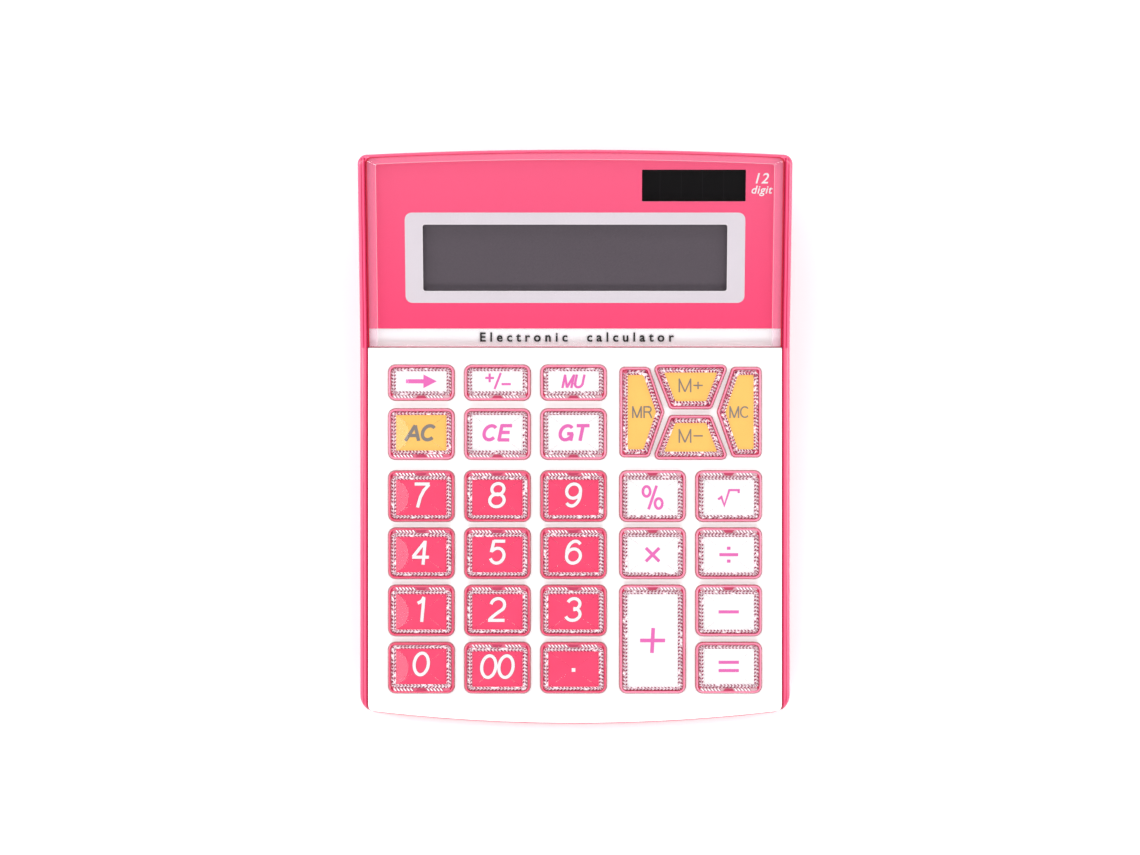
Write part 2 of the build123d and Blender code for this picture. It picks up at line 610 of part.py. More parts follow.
with BuildPart() as board_components:
    # resistors, two electrolytic capacitors lying flat, and the timing part
    with BuildSketch(KEYBOARD.offset(BOARD_UNDER)):
        for u in (-2, 4, 10, -34):
            with Locations((u, -36)):
                Rectangle(3.2, 1.6)
    extrude(amount=-0.9)
    with BuildSketch(KEYBOARD.offset(BOARD_UNDER)):
        with Locations((20, -27), (28, -27)):
            Rectangle(5, 8)
    extrude(amount=-3.5)
    with BuildSketch(KEYBOARD.offset(BOARD_UNDER)):
        with Locations((4, -18)):
            Rectangle(6, 2.6)
    extrude(amount=-2.2)

with BuildPart() as lcd_connector:
    # flat flex from the back of the display down to the board's rear edge
    with BuildSketch(Plane.YZ):
        with BuildLine() as flex_route:
            FilletPolyline(
                on_slope(SLOPE_D, LCD_ALONG - 2, LCD_BACK - 0.18),
                on_slope(SLOPE_D, LCD_ALONG - 7, LCD_BACK - 0.18),
                on_slope(SLOPE_D, LCD_ALONG - 10, FRAME_BACK - 3.5),
                on_slope(SLOPE_K, 4, BOARD_UNDER - 2.5),
                on_slope(SLOPE_K, -8, BOARD_UNDER - 0.18),
                on_slope(SLOPE_K, -12, BOARD_UNDER - 0.18),
                radius=1.2,
            )
        trace(flex_route.line, line_width=0.2)
    extrude(amount=26, both=True)


def wire(*points):
    """A lead of hook-up wire along a route of straight runs joined by arcs."""
    with BuildPart() as lead:
        with BuildLine() as route:
            FilletPolyline(*points, radius=LEAD_BEND)
        with BuildSketch(Plane(origin=route.line @ 0, z_dir=route.line % 0)):
            Circle(LEAD / 2)
        sweep()
    return lead.part.solid()


LEAD = 1.2
LEAD_BEND = 3.5
TAB_TOP = BAY_TOP + BAY_WALL + TAB_RISE
TAB_X = BAY[0] / 2 - 0.4
SOLDER_Y, SOLDER_Z = on_slope(SLOPE_K, -10, BOARD_UNDER - 0.1 - LEAD / 2)


def battery_lead(side, solder_x):
    """From a battery tab, over the bay and forward, to the underside of the board."""
    return wire(
        (side * (TAB_X - 0.3), BAY_Y - 2.8, TAB_TOP - 0.8),
        (side * (TAB_X - 0.3), BAY_Y - 16, TAB_TOP - 0.8),
        (side * (TAB_X + 2), 48, 12),
        (solder_x + side * 3, 30, 9.5),
        (solder_x, SOLDER_Y, SOLDER_Z - 2.6),
        (solder_x, SOLDER_Y - 6, SOLDER_Z - 0.55),
    )


def solar_lead(offset_x, solder_x):
    """From the back of the solar cell, down behind the display, to the board."""
    top_y, top_z = on_slope(SLOPE_D, SOLAR_CENTRE[1], LEDGE_UNDER - 0.2 - SOLAR_PLATE[2])
    x = SOLAR_CENTRE[0] + offset_x
    return wire(
        (x, top_y, top_z),
        (x, top_y + 1, top_z - 9),
        (x + 3, 62, 16),
        (x + 2, 40, 9.0),
        (solder_x, SOLDER_Y + 4, SOLDER_Z - 4.5),
        (solder_x, SOLDER_Y - 6, SOLDER_Z - 0.55),
    )


battery_leads = Compound(children=[battery_lead(-1, -36), battery_lead(1, 36)])
solar_leads = Compound(children=[solar_lead(0, 44), solar_lead(6, 50)])

# ---------------------------------------------------------------- battery
CELL_AXIS = Plane(origin=(CELL_START, BAY_Y, CELL_HEIGHT), x_dir=(0, 1, 0), z_dir=(1, 0, 0))

with BuildPart() as battery_cell:
    with BuildSketch(CELL_AXIS):
        Circle(CELL[0] / 2)
    extrude(amount=CELL[1])
    fillet(battery_cell.edges(), 0.6)
    with BuildSketch(CELL_AXIS.offset(CELL[1] - 0.01)):
        Circle(CELL_NUB[0] / 2)
    extrude(amount=CELL_NUB[1] + 0.01)

NUB_END = CELL_START + CELL[1] + CELL_NUB[1]

with BuildPart() as battery_contact_positive:
    # plate against the bay's end wall, solder tab up through the slot, and a pressed dimple
    with BuildSketch(Plane.XY.offset(4.0)):
        with Locations((BAY[0] / 2 - 0.3, BAY_Y)):
            Rectangle(CONTACT, CONTACT_WIDTH)
    extrude(amount=BAY_TOP - 0.4 - 4.0)
    with BuildSketch(Plane.XY.offset(10)):
        with Locations((BAY[0] / 2 - 0.3, BAY_Y)):
            Rectangle(CONTACT, TAB_WIDTH)
    extrude(amount=TAB_TOP - 10)
    with BuildSketch(CELL_AXIS.offset(BAY[0] / 2 - 0.5 - CELL_START)):
        Circle(3.6)
    extrude(amount=NUB_END + 0.05 - BAY[0] / 2 + 0.5, taper=20)

with BuildPart() as battery_contact_negative:
    with BuildSketch(Plane.XY.offset(4.0)):
        with Locations((-BAY[0] / 2 + 0.3, BAY_Y)):
            Rectangle(CONTACT, CONTACT_WIDTH)
    extrude(amount=BAY_TOP - 0.4 - 4.0)
    with BuildSketch(Plane.XY.offset(10)):
        with Locations((-BAY[0] / 2 + 0.3, BAY_Y)):
            Rectangle(CONTACT, TAB_WIDTH)
    extrude(amount=TAB_TOP - 10)

SPRING_WIRE = 0.7
SPRING_START = -BAY[0] / 2 + 0.5 + SPRING_WIRE / 2 - 0.05
SPRING_END = CELL_START - 0.05 - SPRING_WIRE / 2
with BuildPart() as spring:
    with BuildLine() as coil:
        Helix(pitch=(SPRING_END - SPRING_START) / 3.5, height=SPRING_END - SPRING_START, radius=3.6,
              center=(SPRING_START, BAY_Y, CELL_HEIGHT), direction=(1, 0, 0))
    with BuildSketch(Plane(origin=coil.line @ 0, z_dir=coil.line % 0)):
        Circle(SPRING_WIRE / 2)
    sweep(is_frenet=True)

# ---------------------------------------------------------------- battery door
DOOR_LENGTH = REAR_Y - bow(REAR_BOW, DOOR_WIDTH / 2) - DOOR_FRONT
with BuildPart() as battery_door:
    with BuildSketch(Plane.XY.offset(FOOT_HEIGHT)):
        with Locations((0, DOOR_FRONT + DOOR_LENGTH / 2)):
            Rectangle(DOOR_WIDTH, DOOR_LENGTH)
    extrude(amount=DOOR)
    fillet(battery_door.edges().filter_by(Axis.Z).group_by(Axis.Y)[0], 1.0)
    # a tongue down each side
    with BuildSketch(Plane.XY.offset(FOOT_HEIGHT + LIP + DOOR_PLAY)):
        with Locations((0, DOOR_FRONT + 1 + (DOOR_LENGTH - 3) / 2)):
            Rectangle(DOOR_WIDTH + 2 * TONGUE, DOOR_LENGTH - 3)
    extrude(amount=DOOR - LIP - DOOR_PLAY)
    # grip ridges for a thumb
    with BuildSketch(Plane.XY.offset(FOOT_HEIGHT)):
        with Locations((0, DOOR_FRONT + DOOR_LENGTH / 2)):
            with GridLocations(0, 1.8, 1, 6):
                SlotOverall(16, 0.9)
    extrude(amount=0.5, mode=Mode.SUBTRACT)

# ---------------------------------------------------------------- feet and screws
with BuildPart() as rubber_feet:
    with BuildSketch(Plane.XY):
        with Locations(*FEET):
            Circle(FOOT / 2)
    extrude(amount=FOOT_HEIGHT + FOOT_RECESS)
    fillet(rubber_feet.edges().group_by(Axis.Z)[0], 0.4)


def screw(shank, head, drive):
    """A screw with its head seated at z = 0 and its shank pointing up."""
    with BuildPart() as body:
        with BuildSketch(Plane.XY.offset(-head[1])):
            Circle(head[0] / 2)
        extrude(amount=head[1])
        fillet(body.edges().group_by(Axis.Z)[0], head[1] * 0.4)
        with BuildSketch(Plane.XY):
            Circle(shank[0] / 2)
        extrude(amount=shank[1])
        chamfer(body.edges().group_by(Axis.Z)[-1], 0.3)
        with BuildSketch(Plane.XY.offset(-head[1])):
            Rectangle(drive, drive / 4)
            Rectangle(drive / 4, drive)
        extrude(amount=head[1] * 0.6, mode=Mode.SUBTRACT)
    return body.part.solid()


case_screw = screw(CASE_SHANK, CASE_HEAD, 2.4)
small_screw = screw(SMALL_SHANK, SMALL_HEAD, 1.8)
case_screws = Compound(children=[
    Pos(side * x, BEND_Y + along, seat) * case_screw
    for x, along, seat, meet in CASE_SCREWS
    for side in (-1, 1)
])
board_screws = Compound(children=[
    KEYBOARD.location * Pos(u, v, BOARD_UNDER) * small_screw for u, v in BOARD_SCREWS
])
lcd_screws = Compound(children=[
    DISPLAY.location * Pos(u, v, FRAME_BACK) * small_screw for u, v in LCD_SCREWS
])

battery_contact_negative = Compound(children=[
    battery_contact_negative.part.solid(), spring.part.solid(),
])

PIECES = {
    "bottom_case": bottom_case.part,
    "top_case": top_case.part,
    "display_lens": display_lens.part,
    "display_mask": display_mask.part,
    "lcd_panel": lcd_panel.part,
    "lcd_frame": lcd_frame.part,
    "lcd_connector": lcd_connector.part,
    "solar_cell": solar_cell.part,
    "solar_leads": solar_leads,
    "main_board": main_board.part,
    "keymat": keymat.part,
    "controller_blob": controller_blob.part,
    "board_components": board_components.part,
    "battery_cell": battery_cell.part,
    "battery_contact_positive": battery_contact_positive.part,
    "battery_contact_negative": battery_contact_negative,
    "battery_leads": battery_leads,
    "battery_door": battery_door.part,
    "rubber_feet": rubber_feet.part,
    "case_screws": case_screws,
    "board_screws": board_screws,
    "lcd_screws": lcd_screws,
}
for name, piece in PIECES.items():
    piece.label = name
    export_step(piece, f"parts/{name}.step")
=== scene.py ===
"""Desk calculator: materials, finely shaped keys, display, lights and camera over the fixed frame."""

from math import acos, asin, cos, pi, radians, sin, sqrt
from random import Random

import bpy
from mathutils import Matrix, Vector


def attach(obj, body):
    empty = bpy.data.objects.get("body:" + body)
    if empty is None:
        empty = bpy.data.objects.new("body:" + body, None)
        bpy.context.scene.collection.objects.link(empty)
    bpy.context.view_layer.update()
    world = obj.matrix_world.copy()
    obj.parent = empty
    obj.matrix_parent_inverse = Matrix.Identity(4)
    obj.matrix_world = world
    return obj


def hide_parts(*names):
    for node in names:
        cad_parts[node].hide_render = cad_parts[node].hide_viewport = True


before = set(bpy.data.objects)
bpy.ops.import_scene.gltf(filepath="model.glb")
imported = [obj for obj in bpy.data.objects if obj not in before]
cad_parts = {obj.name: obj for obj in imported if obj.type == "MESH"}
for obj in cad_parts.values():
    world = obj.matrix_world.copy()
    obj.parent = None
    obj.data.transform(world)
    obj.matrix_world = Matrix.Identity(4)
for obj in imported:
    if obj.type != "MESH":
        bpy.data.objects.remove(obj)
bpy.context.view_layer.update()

# ------------------------------------------------------------------ sizes, in millimetres
MM = 0.001
KEYBOARD_SLOPE = radians(5)
DISPLAY_SLOPE = radians(17)
KEYBOARD_LENGTH = 128.2
DISPLAY_LENGTH = 68.3
FRONT_HEIGHT = 12.0
DEPTH = KEYBOARD_LENGTH * cos(KEYBOARD_SLOPE) + DISPLAY_LENGTH * cos(DISPLAY_SLOPE)
FRONT_Y = -DEPTH / 2
REAR_Y = DEPTH / 2
BEND_Y = FRONT_Y + KEYBOARD_LENGTH * cos(KEYBOARD_SLOPE)
BEND_Z = FRONT_HEIGHT + KEYBOARD_LENGTH * sin(KEYBOARD_SLOPE)
UPPER_HALF = 70.55
REAR_BOW = 1.6
REAR_WALL = 1.45

COLUMNS = (-52.4, -26.45, -0.5, 26.45, 52.4)
ROW_PITCH = 19.5
SMALL_ROW = -11.8
CLEAR_ROW = -29.35
DIGIT_ROWS = tuple(-50.5 - ROW_PITCH * step for step in range(4))
MEMORY_PAD = (39.43, -21.85)
KEY_WIDTH = 22.87
KEY_HEIGHT = 17.75
SMALL_KEY_HEIGHT = 12.5
TALL_KEY_HEIGHT = KEY_HEIGHT + ROW_PITCH

LENS = 2.5
PRINT = 0.3
LCD_WINDOW = (103.4, 22.8)
LCD_ALONG = 30.7
SOLAR_WINDOW = (35.1, 10.8)
SOLAR_CENTRE = (40.2, 55.4)
CLEAR_BAND = 6.3
SHEET_Z = -LENS - 0.02
LETTER_Z = -LENS + 0.04
LETTER_THICKNESS = 0.04
CELL_STRIP = 7.2  # of the solar cell, between its pale lines
CELL_LINE = 0.16
# painted shade along the side rails: lines of darker colour laid on the pink case
RAIL_SHADE_LINES = ((72.05, 0.16), (70.95, 0.28))  # distance from the middle and half width
RAIL_FOOT = 9.5  # the lines start at this height
RAIL_END = 3.0  # and stop this far short of the rear


def slope_place(slope):
    """Placement of drawings made in millimetres on one of the two top planes."""
    return Matrix.Translation((0, BEND_Y * MM, BEND_Z * MM)) @ Matrix.Rotation(slope, 4, "X")


KEYBOARD = slope_place(KEYBOARD_SLOPE)
DISPLAY = slope_place(DISPLAY_SLOPE)


# ------------------------------------------------------------------ materials
def node_material(name):
    """A new material, its nodes and links, and its Principled shader."""
    material = bpy.data.materials.new(name)
    material.use_nodes = True
    tree = material.node_tree
    return material, tree.nodes, tree.links, tree.nodes["Principled BSDF"]


def noise(nodes, links, scale, detail=3.0):
    """Noise in the object's own coordinates; scale is in features per metre."""
    place = nodes.new("ShaderNodeTexCoord")
    texture = nodes.new("ShaderNodeTexNoise")
    texture.inputs["Scale"].default_value = scale
    texture.inputs["Detail"].default_value = detail
    links.new(place.outputs["Object"], texture.inputs["Vector"])
    return texture.outputs["Fac"]


def math_node(nodes, links, operation, *values):
    """A Math node; each value is a socket to link or a number to set."""
    node = nodes.new("ShaderNodeMath")
    node.operation = operation
    for socket, value in zip(node.inputs, values):
        if isinstance(value, (int, float)):
            socket.default_value = value
        else:
            links.new(value, socket)
    return node.outputs["Value"]


def plastic(name, color, roughness=0.2, mottle=0.03, mottle_scale=60, grain=0.04, grain_scale=4000,
            bump=0.02, coat=0.0, metallic=0.0, subsurface=0.0):
    """Moulded plastic or rubber: faint mottling, uneven gloss and a fine surface grain."""
    material, nodes, links, shader = node_material(name)
    ramp = nodes.new("ShaderNodeValToRGB")
    ramp.color_ramp.elements[0].position = 0.3
    ramp.color_ramp.elements[1].position = 0.7
    ramp.color_ramp.elements[0].color = (*[channel * (1 - mottle) for channel in color], 1)
    ramp.color_ramp.elements[1].color = (*[min(1.0, channel * (1 + mottle)) for channel in color], 1)
    links.new(noise(nodes, links, mottle_scale), ramp.inputs["Fac"])
    links.new(ramp.outputs["Color"], shader.inputs["Base Color"])
    gloss = nodes.new("ShaderNodeMapRange")
    gloss.inputs["To Min"].default_value = max(0.02, roughness - grain)
    gloss.inputs["To Max"].default_value = roughness + grain
    links.new(noise(nodes, links, grain_scale / 12, 5), gloss.inputs["Value"])
    links.new(gloss.outputs["Result"], shader.inputs["Roughness"])
    surface = nodes.new("ShaderNodeBump")
    surface.inputs["Strength"].default_value = bump
    surface.inputs["Distance"].default_value = 0.05 * MM
    links.new(noise(nodes, links, grain_scale, 2), surface.inputs["Height"])
    links.new(surface.outputs["Normal"], shader.inputs["Normal"])
    shader.inputs["Metallic"].default_value = metallic
    shader.inputs["Coat Weight"].default_value = coat
    shader.inputs["Coat Roughness"].default_value = 0.04
    shader.inputs["Subsurface Weight"].default_value = subsurface
    shader.inputs["Subsurface Scale"].default_value = 0.5 * MM
    return material


def clear(name, tint, roughness=0.02, haze_and_sheen=0.0, haze_and_sheen_color=(1, 0.93, 0.96), face_on=0.04, edge_on=0.9):
    """Clear acrylic: what is under it shows through, and the lights show on its faces."""
    material, nodes, links, shader = node_material(name)
    nodes.remove(shader)
    through = nodes.new("ShaderNodeBsdfTransparent")
    through.inputs["Color"].default_value = (*tint, 1)
    glare = nodes.new("ShaderNodeBsdfGlossy")
    gloss = nodes.new("ShaderNodeMapRange")
    gloss.inputs["To Min"].default_value = roughness
    gloss.inputs["To Max"].default_value = roughness * 2
    links.new(noise(nodes, links, 300), gloss.inputs["Value"])
    links.new(gloss.outputs["Result"], glare.inputs["Roughness"])
    # reflectance grows from face on to edge on
    facing = nodes.new("ShaderNodeLayerWeight")
    steep = math_node(nodes, links, "POWER", facing.outputs["Facing"], 5.0)
    share = nodes.new("ShaderNodeMapRange")
    share.inputs["To Min"].default_value = face_on
    share.inputs["To Max"].default_value = edge_on
    links.new(steep, share.inputs["Value"])
    mix = nodes.new("ShaderNodeMixShader")
    links.new(share.outputs["Result"], mix.inputs[0])
    links.new(through.outputs["BSDF"], mix.inputs[1])
    links.new(glare.outputs["BSDF"], mix.inputs[2])
    result = mix
    # a diffuse layer mixed over the clear shader: painted sheen on the lens bevel, and on the lens edge
    # partly the acrylic's own haze
    if haze_and_sheen:
        haze_and_sheen_layer = nodes.new("ShaderNodeBsdfDiffuse")
        haze_and_sheen_layer.inputs["Color"].default_value = (*haze_and_sheen_color, 1)
        result = nodes.new("ShaderNodeMixShader")
        result.inputs[0].default_value = haze_and_sheen
        links.new(mix.outputs["Shader"], result.inputs[1])
        links.new(haze_and_sheen_layer.outputs["BSDF"], result.inputs[2])
    links.new(result.outputs["Shader"], nodes["Material Output"].inputs["Surface"])
    return material


def printed(name, near, far, start, end):
    """Printed ink that lightens evenly from y = start to y = end, in metres; the lightening is a painted
    reflection, hazier towards the rear.
    """
    material, nodes, links, shader = node_material(name)
    place = nodes.new("ShaderNodeTexCoord")
    split = nodes.new("ShaderNodeSeparateXYZ")
    links.new(place.outputs["Object"], split.inputs["Vector"])
    along = nodes.new("ShaderNodeMapRange")
    along.inputs["From Min"].default_value = start
    along.inputs["From Max"].default_value = end
    links.new(split.outputs["Y"], along.inputs["Value"])
    blend = nodes.new("ShaderNodeMix")
    blend.data_type = "RGBA"
    blend.inputs["A"].default_value = (*near, 1)
    blend.inputs["B"].default_value = (*far, 1)
    links.new(along.outputs["Result"], blend.inputs["Factor"])
    grain = nodes.new("ShaderNodeMix")
    grain.data_type = "RGBA"
    grain.blend_type = "OVERLAY"
    grain.inputs["Factor"].default_value = 0.05
    links.new(blend.outputs["Result"], grain.inputs["A"])
    links.new(noise(nodes, links, 900), grain.inputs["B"])
    links.new(grain.outputs["Result"], shader.inputs["Base Color"])
    shader.inputs["Roughness"].default_value = 0.5
    shader.inputs["Specular IOR Level"].default_value = 0.2
    return material


def silicon(name):
    """Solar cell: near-black silicon with fine pale lines between its strips."""
    material, nodes, links, shader = node_material(name)
    place = nodes.new("ShaderNodeTexCoord")
    split = nodes.new("ShaderNodeSeparateXYZ")
    links.new(place.outputs["Object"], split.inputs["Vector"])
    strip = math_node(nodes, links, "PINGPONG", split.outputs["X"], CELL_STRIP / 2 * MM)
    line = math_node(nodes, links, "LESS_THAN", strip, CELL_LINE / 2 * MM)
    ink = nodes.new("ShaderNodeMix")
    ink.data_type = "RGBA"
    ink.inputs["A"].default_value = (0.001, 0.0005, 0.001, 1)
    ink.inputs["B"].default_value = (0.012, 0.01, 0.012, 1)
    links.new(line, ink.inputs["Factor"])
    links.new(ink.outputs["Result"], shader.inputs["Base Color"])
    gloss = nodes.new("ShaderNodeMapRange")
    gloss.inputs["To Min"].default_value = 0.25
    gloss.inputs["To Max"].default_value = 0.4
    links.new(noise(nodes, links, 800), gloss.inputs["Value"])
    links.new(gloss.outputs["Result"], shader.inputs["Roughness"])
    shader.inputs["Specular IOR Level"].default_value = 0.2
    return material


def add_rail_lines(material, ink):
    """Painted shade: darker lines along the tops of the side rails, where their rounded edges turn away from
    the light.
    """
    nodes, links = material.node_tree.nodes, material.node_tree.links
    shader = nodes["Principled BSDF"]
    base = shader.inputs["Base Color"].links[0].from_socket
    place = nodes.new("ShaderNodeTexCoord")
    split = nodes.new("ShaderNodeSeparateXYZ")
    links.new(place.outputs["Object"], split.inputs["Vector"])
    side = math_node(nodes, links, "ABSOLUTE", split.outputs["X"])
    lines = [math_node(nodes, links, "COMPARE", side, centre * MM, half * MM) for centre, half in RAIL_SHADE_LINES]
    either = math_node(nodes, links, "MAXIMUM", *lines)
    above = math_node(nodes, links, "GREATER_THAN", split.outputs["Z"], RAIL_FOOT * MM)
    ahead = math_node(nodes, links, "LESS_THAN", split.outputs["Y"], (REAR_Y - RAIL_END) * MM)
    on_rail = math_node(nodes, links, "MULTIPLY", above, ahead)
    mask = math_node(nodes, links, "MULTIPLY", either, on_rail)
    mix = nodes.new("ShaderNodeMix")
    mix.data_type = "RGBA"
    mix.inputs["B"].default_value = (*ink, 1)
    links.new(mask, mix.inputs["Factor"])
    links.new(base, mix.inputs["A"])
    links.new(mix.outputs["Result"], shader.inputs["Base Color"])


PINK = (0.80, 0.09, 0.20)
KEY_SHADE_CRIMSON = (0.40, 0.012, 0.045)
YELLOW = (0.86, 0.50, 0.125)
MAGENTA = (0.70, 0.13, 0.42)

MATERIALS = {
    "case_pink": plastic("case_pink", PINK, 0.2, coat=0.1),
    "case_white": plastic("case_white", (0.96, 0.955, 0.96), 0.22, mottle=0.01, coat=0.1),
    # painted shade: a dark crimson for the shadowed seams beside the keyboard and round the lens
    "seam_painted_shade": plastic("seam_painted_shade", (0.55, 0.012, 0.045), 0.3),
    "key_pink": plastic("key_pink", (0.70, 0.065, 0.145), 0.15, coat=0.2),
    "key_rose": plastic("key_rose", (0.84, 0.22, 0.35), 0.15, coat=0.2),
    # painted shade for the keys' walls
    "key_crimson": plastic("key_crimson", KEY_SHADE_CRIMSON, 0.2),
    # the display's pink print, with a painted reflection that lightens it towards the rear
    "print_pink_sheen": printed("print_pink_sheen", (0.88, 0.062, 0.175), (0.86, 0.115, 0.23), BEND_Y * MM, REAR_Y * MM),
    "print_white": plastic("print_white", (0.70, 0.66, 0.70), 0.4, mottle=0.015),
    "label_pink": plastic("label_pink", (0.82, 0.062, 0.15), 0.3, mottle=0.05, mottle_scale=120),
    "label_white": plastic("label_white", (0.85, 0.84, 0.85), 0.3, mottle=0.01),
    "label_yellow": plastic("label_yellow", YELLOW, 0.3, mottle=0.03, mottle_scale=150),
    "legend_white": plastic("legend_white", (0.80, 0.76, 0.78), 0.35, mottle=0.01),
    "legend_shade": plastic("legend_shade", (0.50, 0.03, 0.10), 0.35),
    "legend_magenta": plastic("legend_magenta", MAGENTA, 0.35, mottle=0.03),
    "legend_grey": plastic("legend_grey", (0.21, 0.19, 0.18), 0.35, mottle=0.05),
    "legend_black": plastic("legend_black", (0.015, 0.015, 0.015), 0.35, mottle=0.05),
    # glints and shade of the cut facets, painted into their colours: white for a glint, plum for shade
    "facet_glint": plastic("facet_glint", (0.97, 0.88, 0.92), 0.1, mottle=0.05, mottle_scale=900),
    "facet_blush": plastic("facet_blush", (0.66, 0.42, 0.47), 0.1, mottle=0.1, mottle_scale=900),
    "facet_rose": plastic("facet_rose", (0.74, 0.17, 0.27), 0.1, mottle=0.1, mottle_scale=900),
    "facet_shade": plastic("facet_shade", (0.24, 0.02, 0.07), 0.1, mottle=0.2, mottle_scale=900),
    "gate_red": plastic("gate_red", (0.46, 0.05, 0.11), 0.3),
    "crystal": clear("crystal", (0.99, 0.985, 0.985)),
    "crystal_edge": clear("crystal_edge", (0.99, 0.985, 0.985), face_on=0.008, edge_on=0.15),
    "lens_clear": clear("lens_clear", (0.985, 0.98, 0.985)),
    # the bevel's pink haze is a painted reflection, lighter pink as if it mirrored the side lights
    "lens_bevel_sheen": clear("lens_bevel_sheen", (0.98, 0.97, 0.98), 0.06, haze_and_sheen=0.19, haze_and_sheen_color=(1, 0.5, 0.7)),
    # a whitish band along the bevel's crease: partly the acrylic's own milky edge, partly a painted highlight
    "lens_edge_highlight": clear("lens_edge_highlight", (0.98, 0.97, 0.98), 0.1, haze_and_sheen=0.3, haze_and_sheen_color=(1, 0.8, 0.88)),
    "lcd_grey": plastic("lcd_grey", (0.09, 0.073, 0.088), 0.4, mottle=0.06, mottle_scale=1800),
    "solar_cell": silicon("solar_cell"),
    "rubber": plastic("rubber", (0.05, 0.05, 0.052), 0.75, grain_scale=2500, bump=0.3),
    "silicone": plastic("silicone", (0.72, 0.71, 0.68), 0.55, subsurface=0.2),
    "board": plastic("board", (0.42, 0.25, 0.10), 0.45, mottle=0.15, mottle_scale=500),
    "epoxy": plastic("epoxy", (0.015, 0.015, 0.015), 0.25, mottle=0.2),
    "flex": plastic("flex", (0.65, 0.32, 0.08), 0.3),
    "steel": plastic("steel", (0.58, 0.57, 0.56), 0.25, metallic=1.0, grain=0.08, bump=0.1),
    "lead_red": plastic("lead_red", (0.6, 0.02, 0.02), 0.4),
    "cell_wrap": plastic("cell_wrap", (0.03, 0.03, 0.04), 0.25, coat=0.4),
}
# the rails' painted shade lines, in a darker crimson
add_rail_lines(MATERIALS["case_pink"], (0.50, 0.02, 0.07))


# ------------------------------------------------------------------ mesh helpers
def piece(name, points, faces, materials, indices=None, smooth=(), body="root"):
    """A mesh piece from points in metres, with one material index for each face."""
    mesh = bpy.data.meshes.new(name)
    mesh.from_pydata([tuple(point) for point in points], [], faces)
    for material in materials:
        mesh.materials.append(MATERIALS[material])
    if indices:
        mesh.polygons.foreach_set("material_index", indices)
    if smooth:
        mesh.polygons.foreach_set("use_smooth", smooth)
    mesh.update()
    obj = bpy.data.objects.new(name, mesh)
    bpy.context.collection.objects.link(obj)
    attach(obj, body)
    return obj


class Builder:
    """Collects points (millimetres, on one plane), faces and their materials for one piece."""

    def __init__(self, place, materials):
        self.place = place
        self.materials = materials
        self.points = []
        self.faces = []
        self.indices = []
        self.smooth = []

    def add_points(self, points):
        start = len(self.points)
        self.points += [self.place @ (Vector(point) * MM) for point in points]
        return range(start, start + len(points))

    def add_face(self, face, material, smooth=False):
        self.faces.append(tuple(face))
        self.indices.append(self.materials.index(material))
        self.smooth.append(smooth)

    def loft(self, loops, material, smooth=True):
        """Bands between neighbouring loops; each loop is a list of (x, y, z)."""
        rows = [self.add_points(loop) for loop in loops]
        count = len(loops[0])
        for lower, upper in zip(rows, rows[1:]):
            for i in range(count):
                j = (i + 1) % count
                self.add_face((lower[i], lower[j], upper[j], upper[i]), material, smooth)
        return rows

    def cap(self, loop, material, smooth=False):
        """A flat face over a loop of points."""
        self.add_face(self.add_points(loop), material, smooth)

    def plate(self, loop, low, high, material, edge=None):
        """A flat plate with upright sides over a loop of (x, y)."""
        bottom = [(x, y, low) for x, y in loop]
        top = [(x, y, high) for x, y in loop]
        self.loft([bottom, top], edge or material, smooth=False)
        self.cap(top, material)
        self.cap(bottom[::-1], material)

    def mesh(self, source, matrix, material):
        """Faces taken from another mesh, such as a letter's."""
        start = len(self.points)
        self.points += [self.place @ (matrix @ vertex.co * MM) for vertex in source.vertices]
        for polygon in source.polygons:
            self.add_face([start + index for index in polygon.vertices], material)

    def finish(self, name, slot, body="root"):
        return piece(name, self.points, self.faces, self.materials, self.indices, self.smooth, body)


def rounded(corners, radius, inset=0.0, steps=5, smallest=0.25):
    """A convex outline set in by `inset`, with each corner rounded, counter-clockwise."""
    count = len(corners)
    normals = []
    for i, corner in enumerate(corners):
        along = (Vector(corners[(i + 1) % count]) - Vector(corner)).normalized()
        normals.append(Vector((-along.y, along.x)))
    loop = []
    for i, corner in enumerate(corners):
        before, after = normals[i - 1], normals[i]
        half_turn = acos(max(-1.0, min(1.0, before.dot(after)))) / 2
        bisector = (before + after).normalized()
        tip = Vector(corner) + bisector * (inset / cos(half_turn))
        round_off = max(radius - inset, smallest)
        centre = tip + bisector * (round_off / cos(half_turn))
        for step in range(steps + 1):
            turn = half_turn * (2 * step / steps - 1)
            spoke = Matrix.Rotation(turn, 2) @ -bisector
            loop.append(tuple(centre + spoke * round_off))
    return loop


def rectangle(width, height, centre=(0, 0)):
    """Corners of a rectangle, counter-clockwise from its lower left."""
    x, y = centre
    w, h = width / 2, height / 2
    return [(x - w, y - h), (x + w, y - h), (x + w, y + h), (x - w, y + h)]


def lettering(text, size, shear=0.0, weight=0.0, spacing=1.0):
    """A mesh of generic lettering, centred on the origin, in millimetres."""
    curve = bpy.data.curves.new("lettering", "FONT")
    curve.body = text
    curve.size = size
    curve.shear = shear
    curve.offset = weight
    curve.space_character = spacing
    curve.extrude = LETTER_THICKNESS / 2
    curve.resolution_u = 6
    curve.align_x = "CENTER"
    holder = bpy.data.objects.new("lettering", curve)
    mesh = bpy.data.meshes.new_from_object(holder)
    bpy.data.objects.remove(holder)
    bpy.data.curves.remove(curve)
    xs = [vertex.co.x for vertex in mesh.vertices]
    ys = [vertex.co.y for vertex in mesh.vertices]
    middle = Vector(((min(xs) + max(xs)) / 2, (min(ys) + max(ys)) / 2, 0))
    for vertex in mesh.vertices:
        vertex.co -= middle
    return mesh


# ------------------------------------------------------------------ legends drawn with an even stroke
def arc(x, y, across, up, start, end, steps=14):
    """Points on an ellipse between two angles in degrees."""
    angles = [radians(start + (end - start) * step / steps) for step in range(steps + 1)]
    return [(x + across * cos(angle), y + up * sin(angle)) for angle in angles]


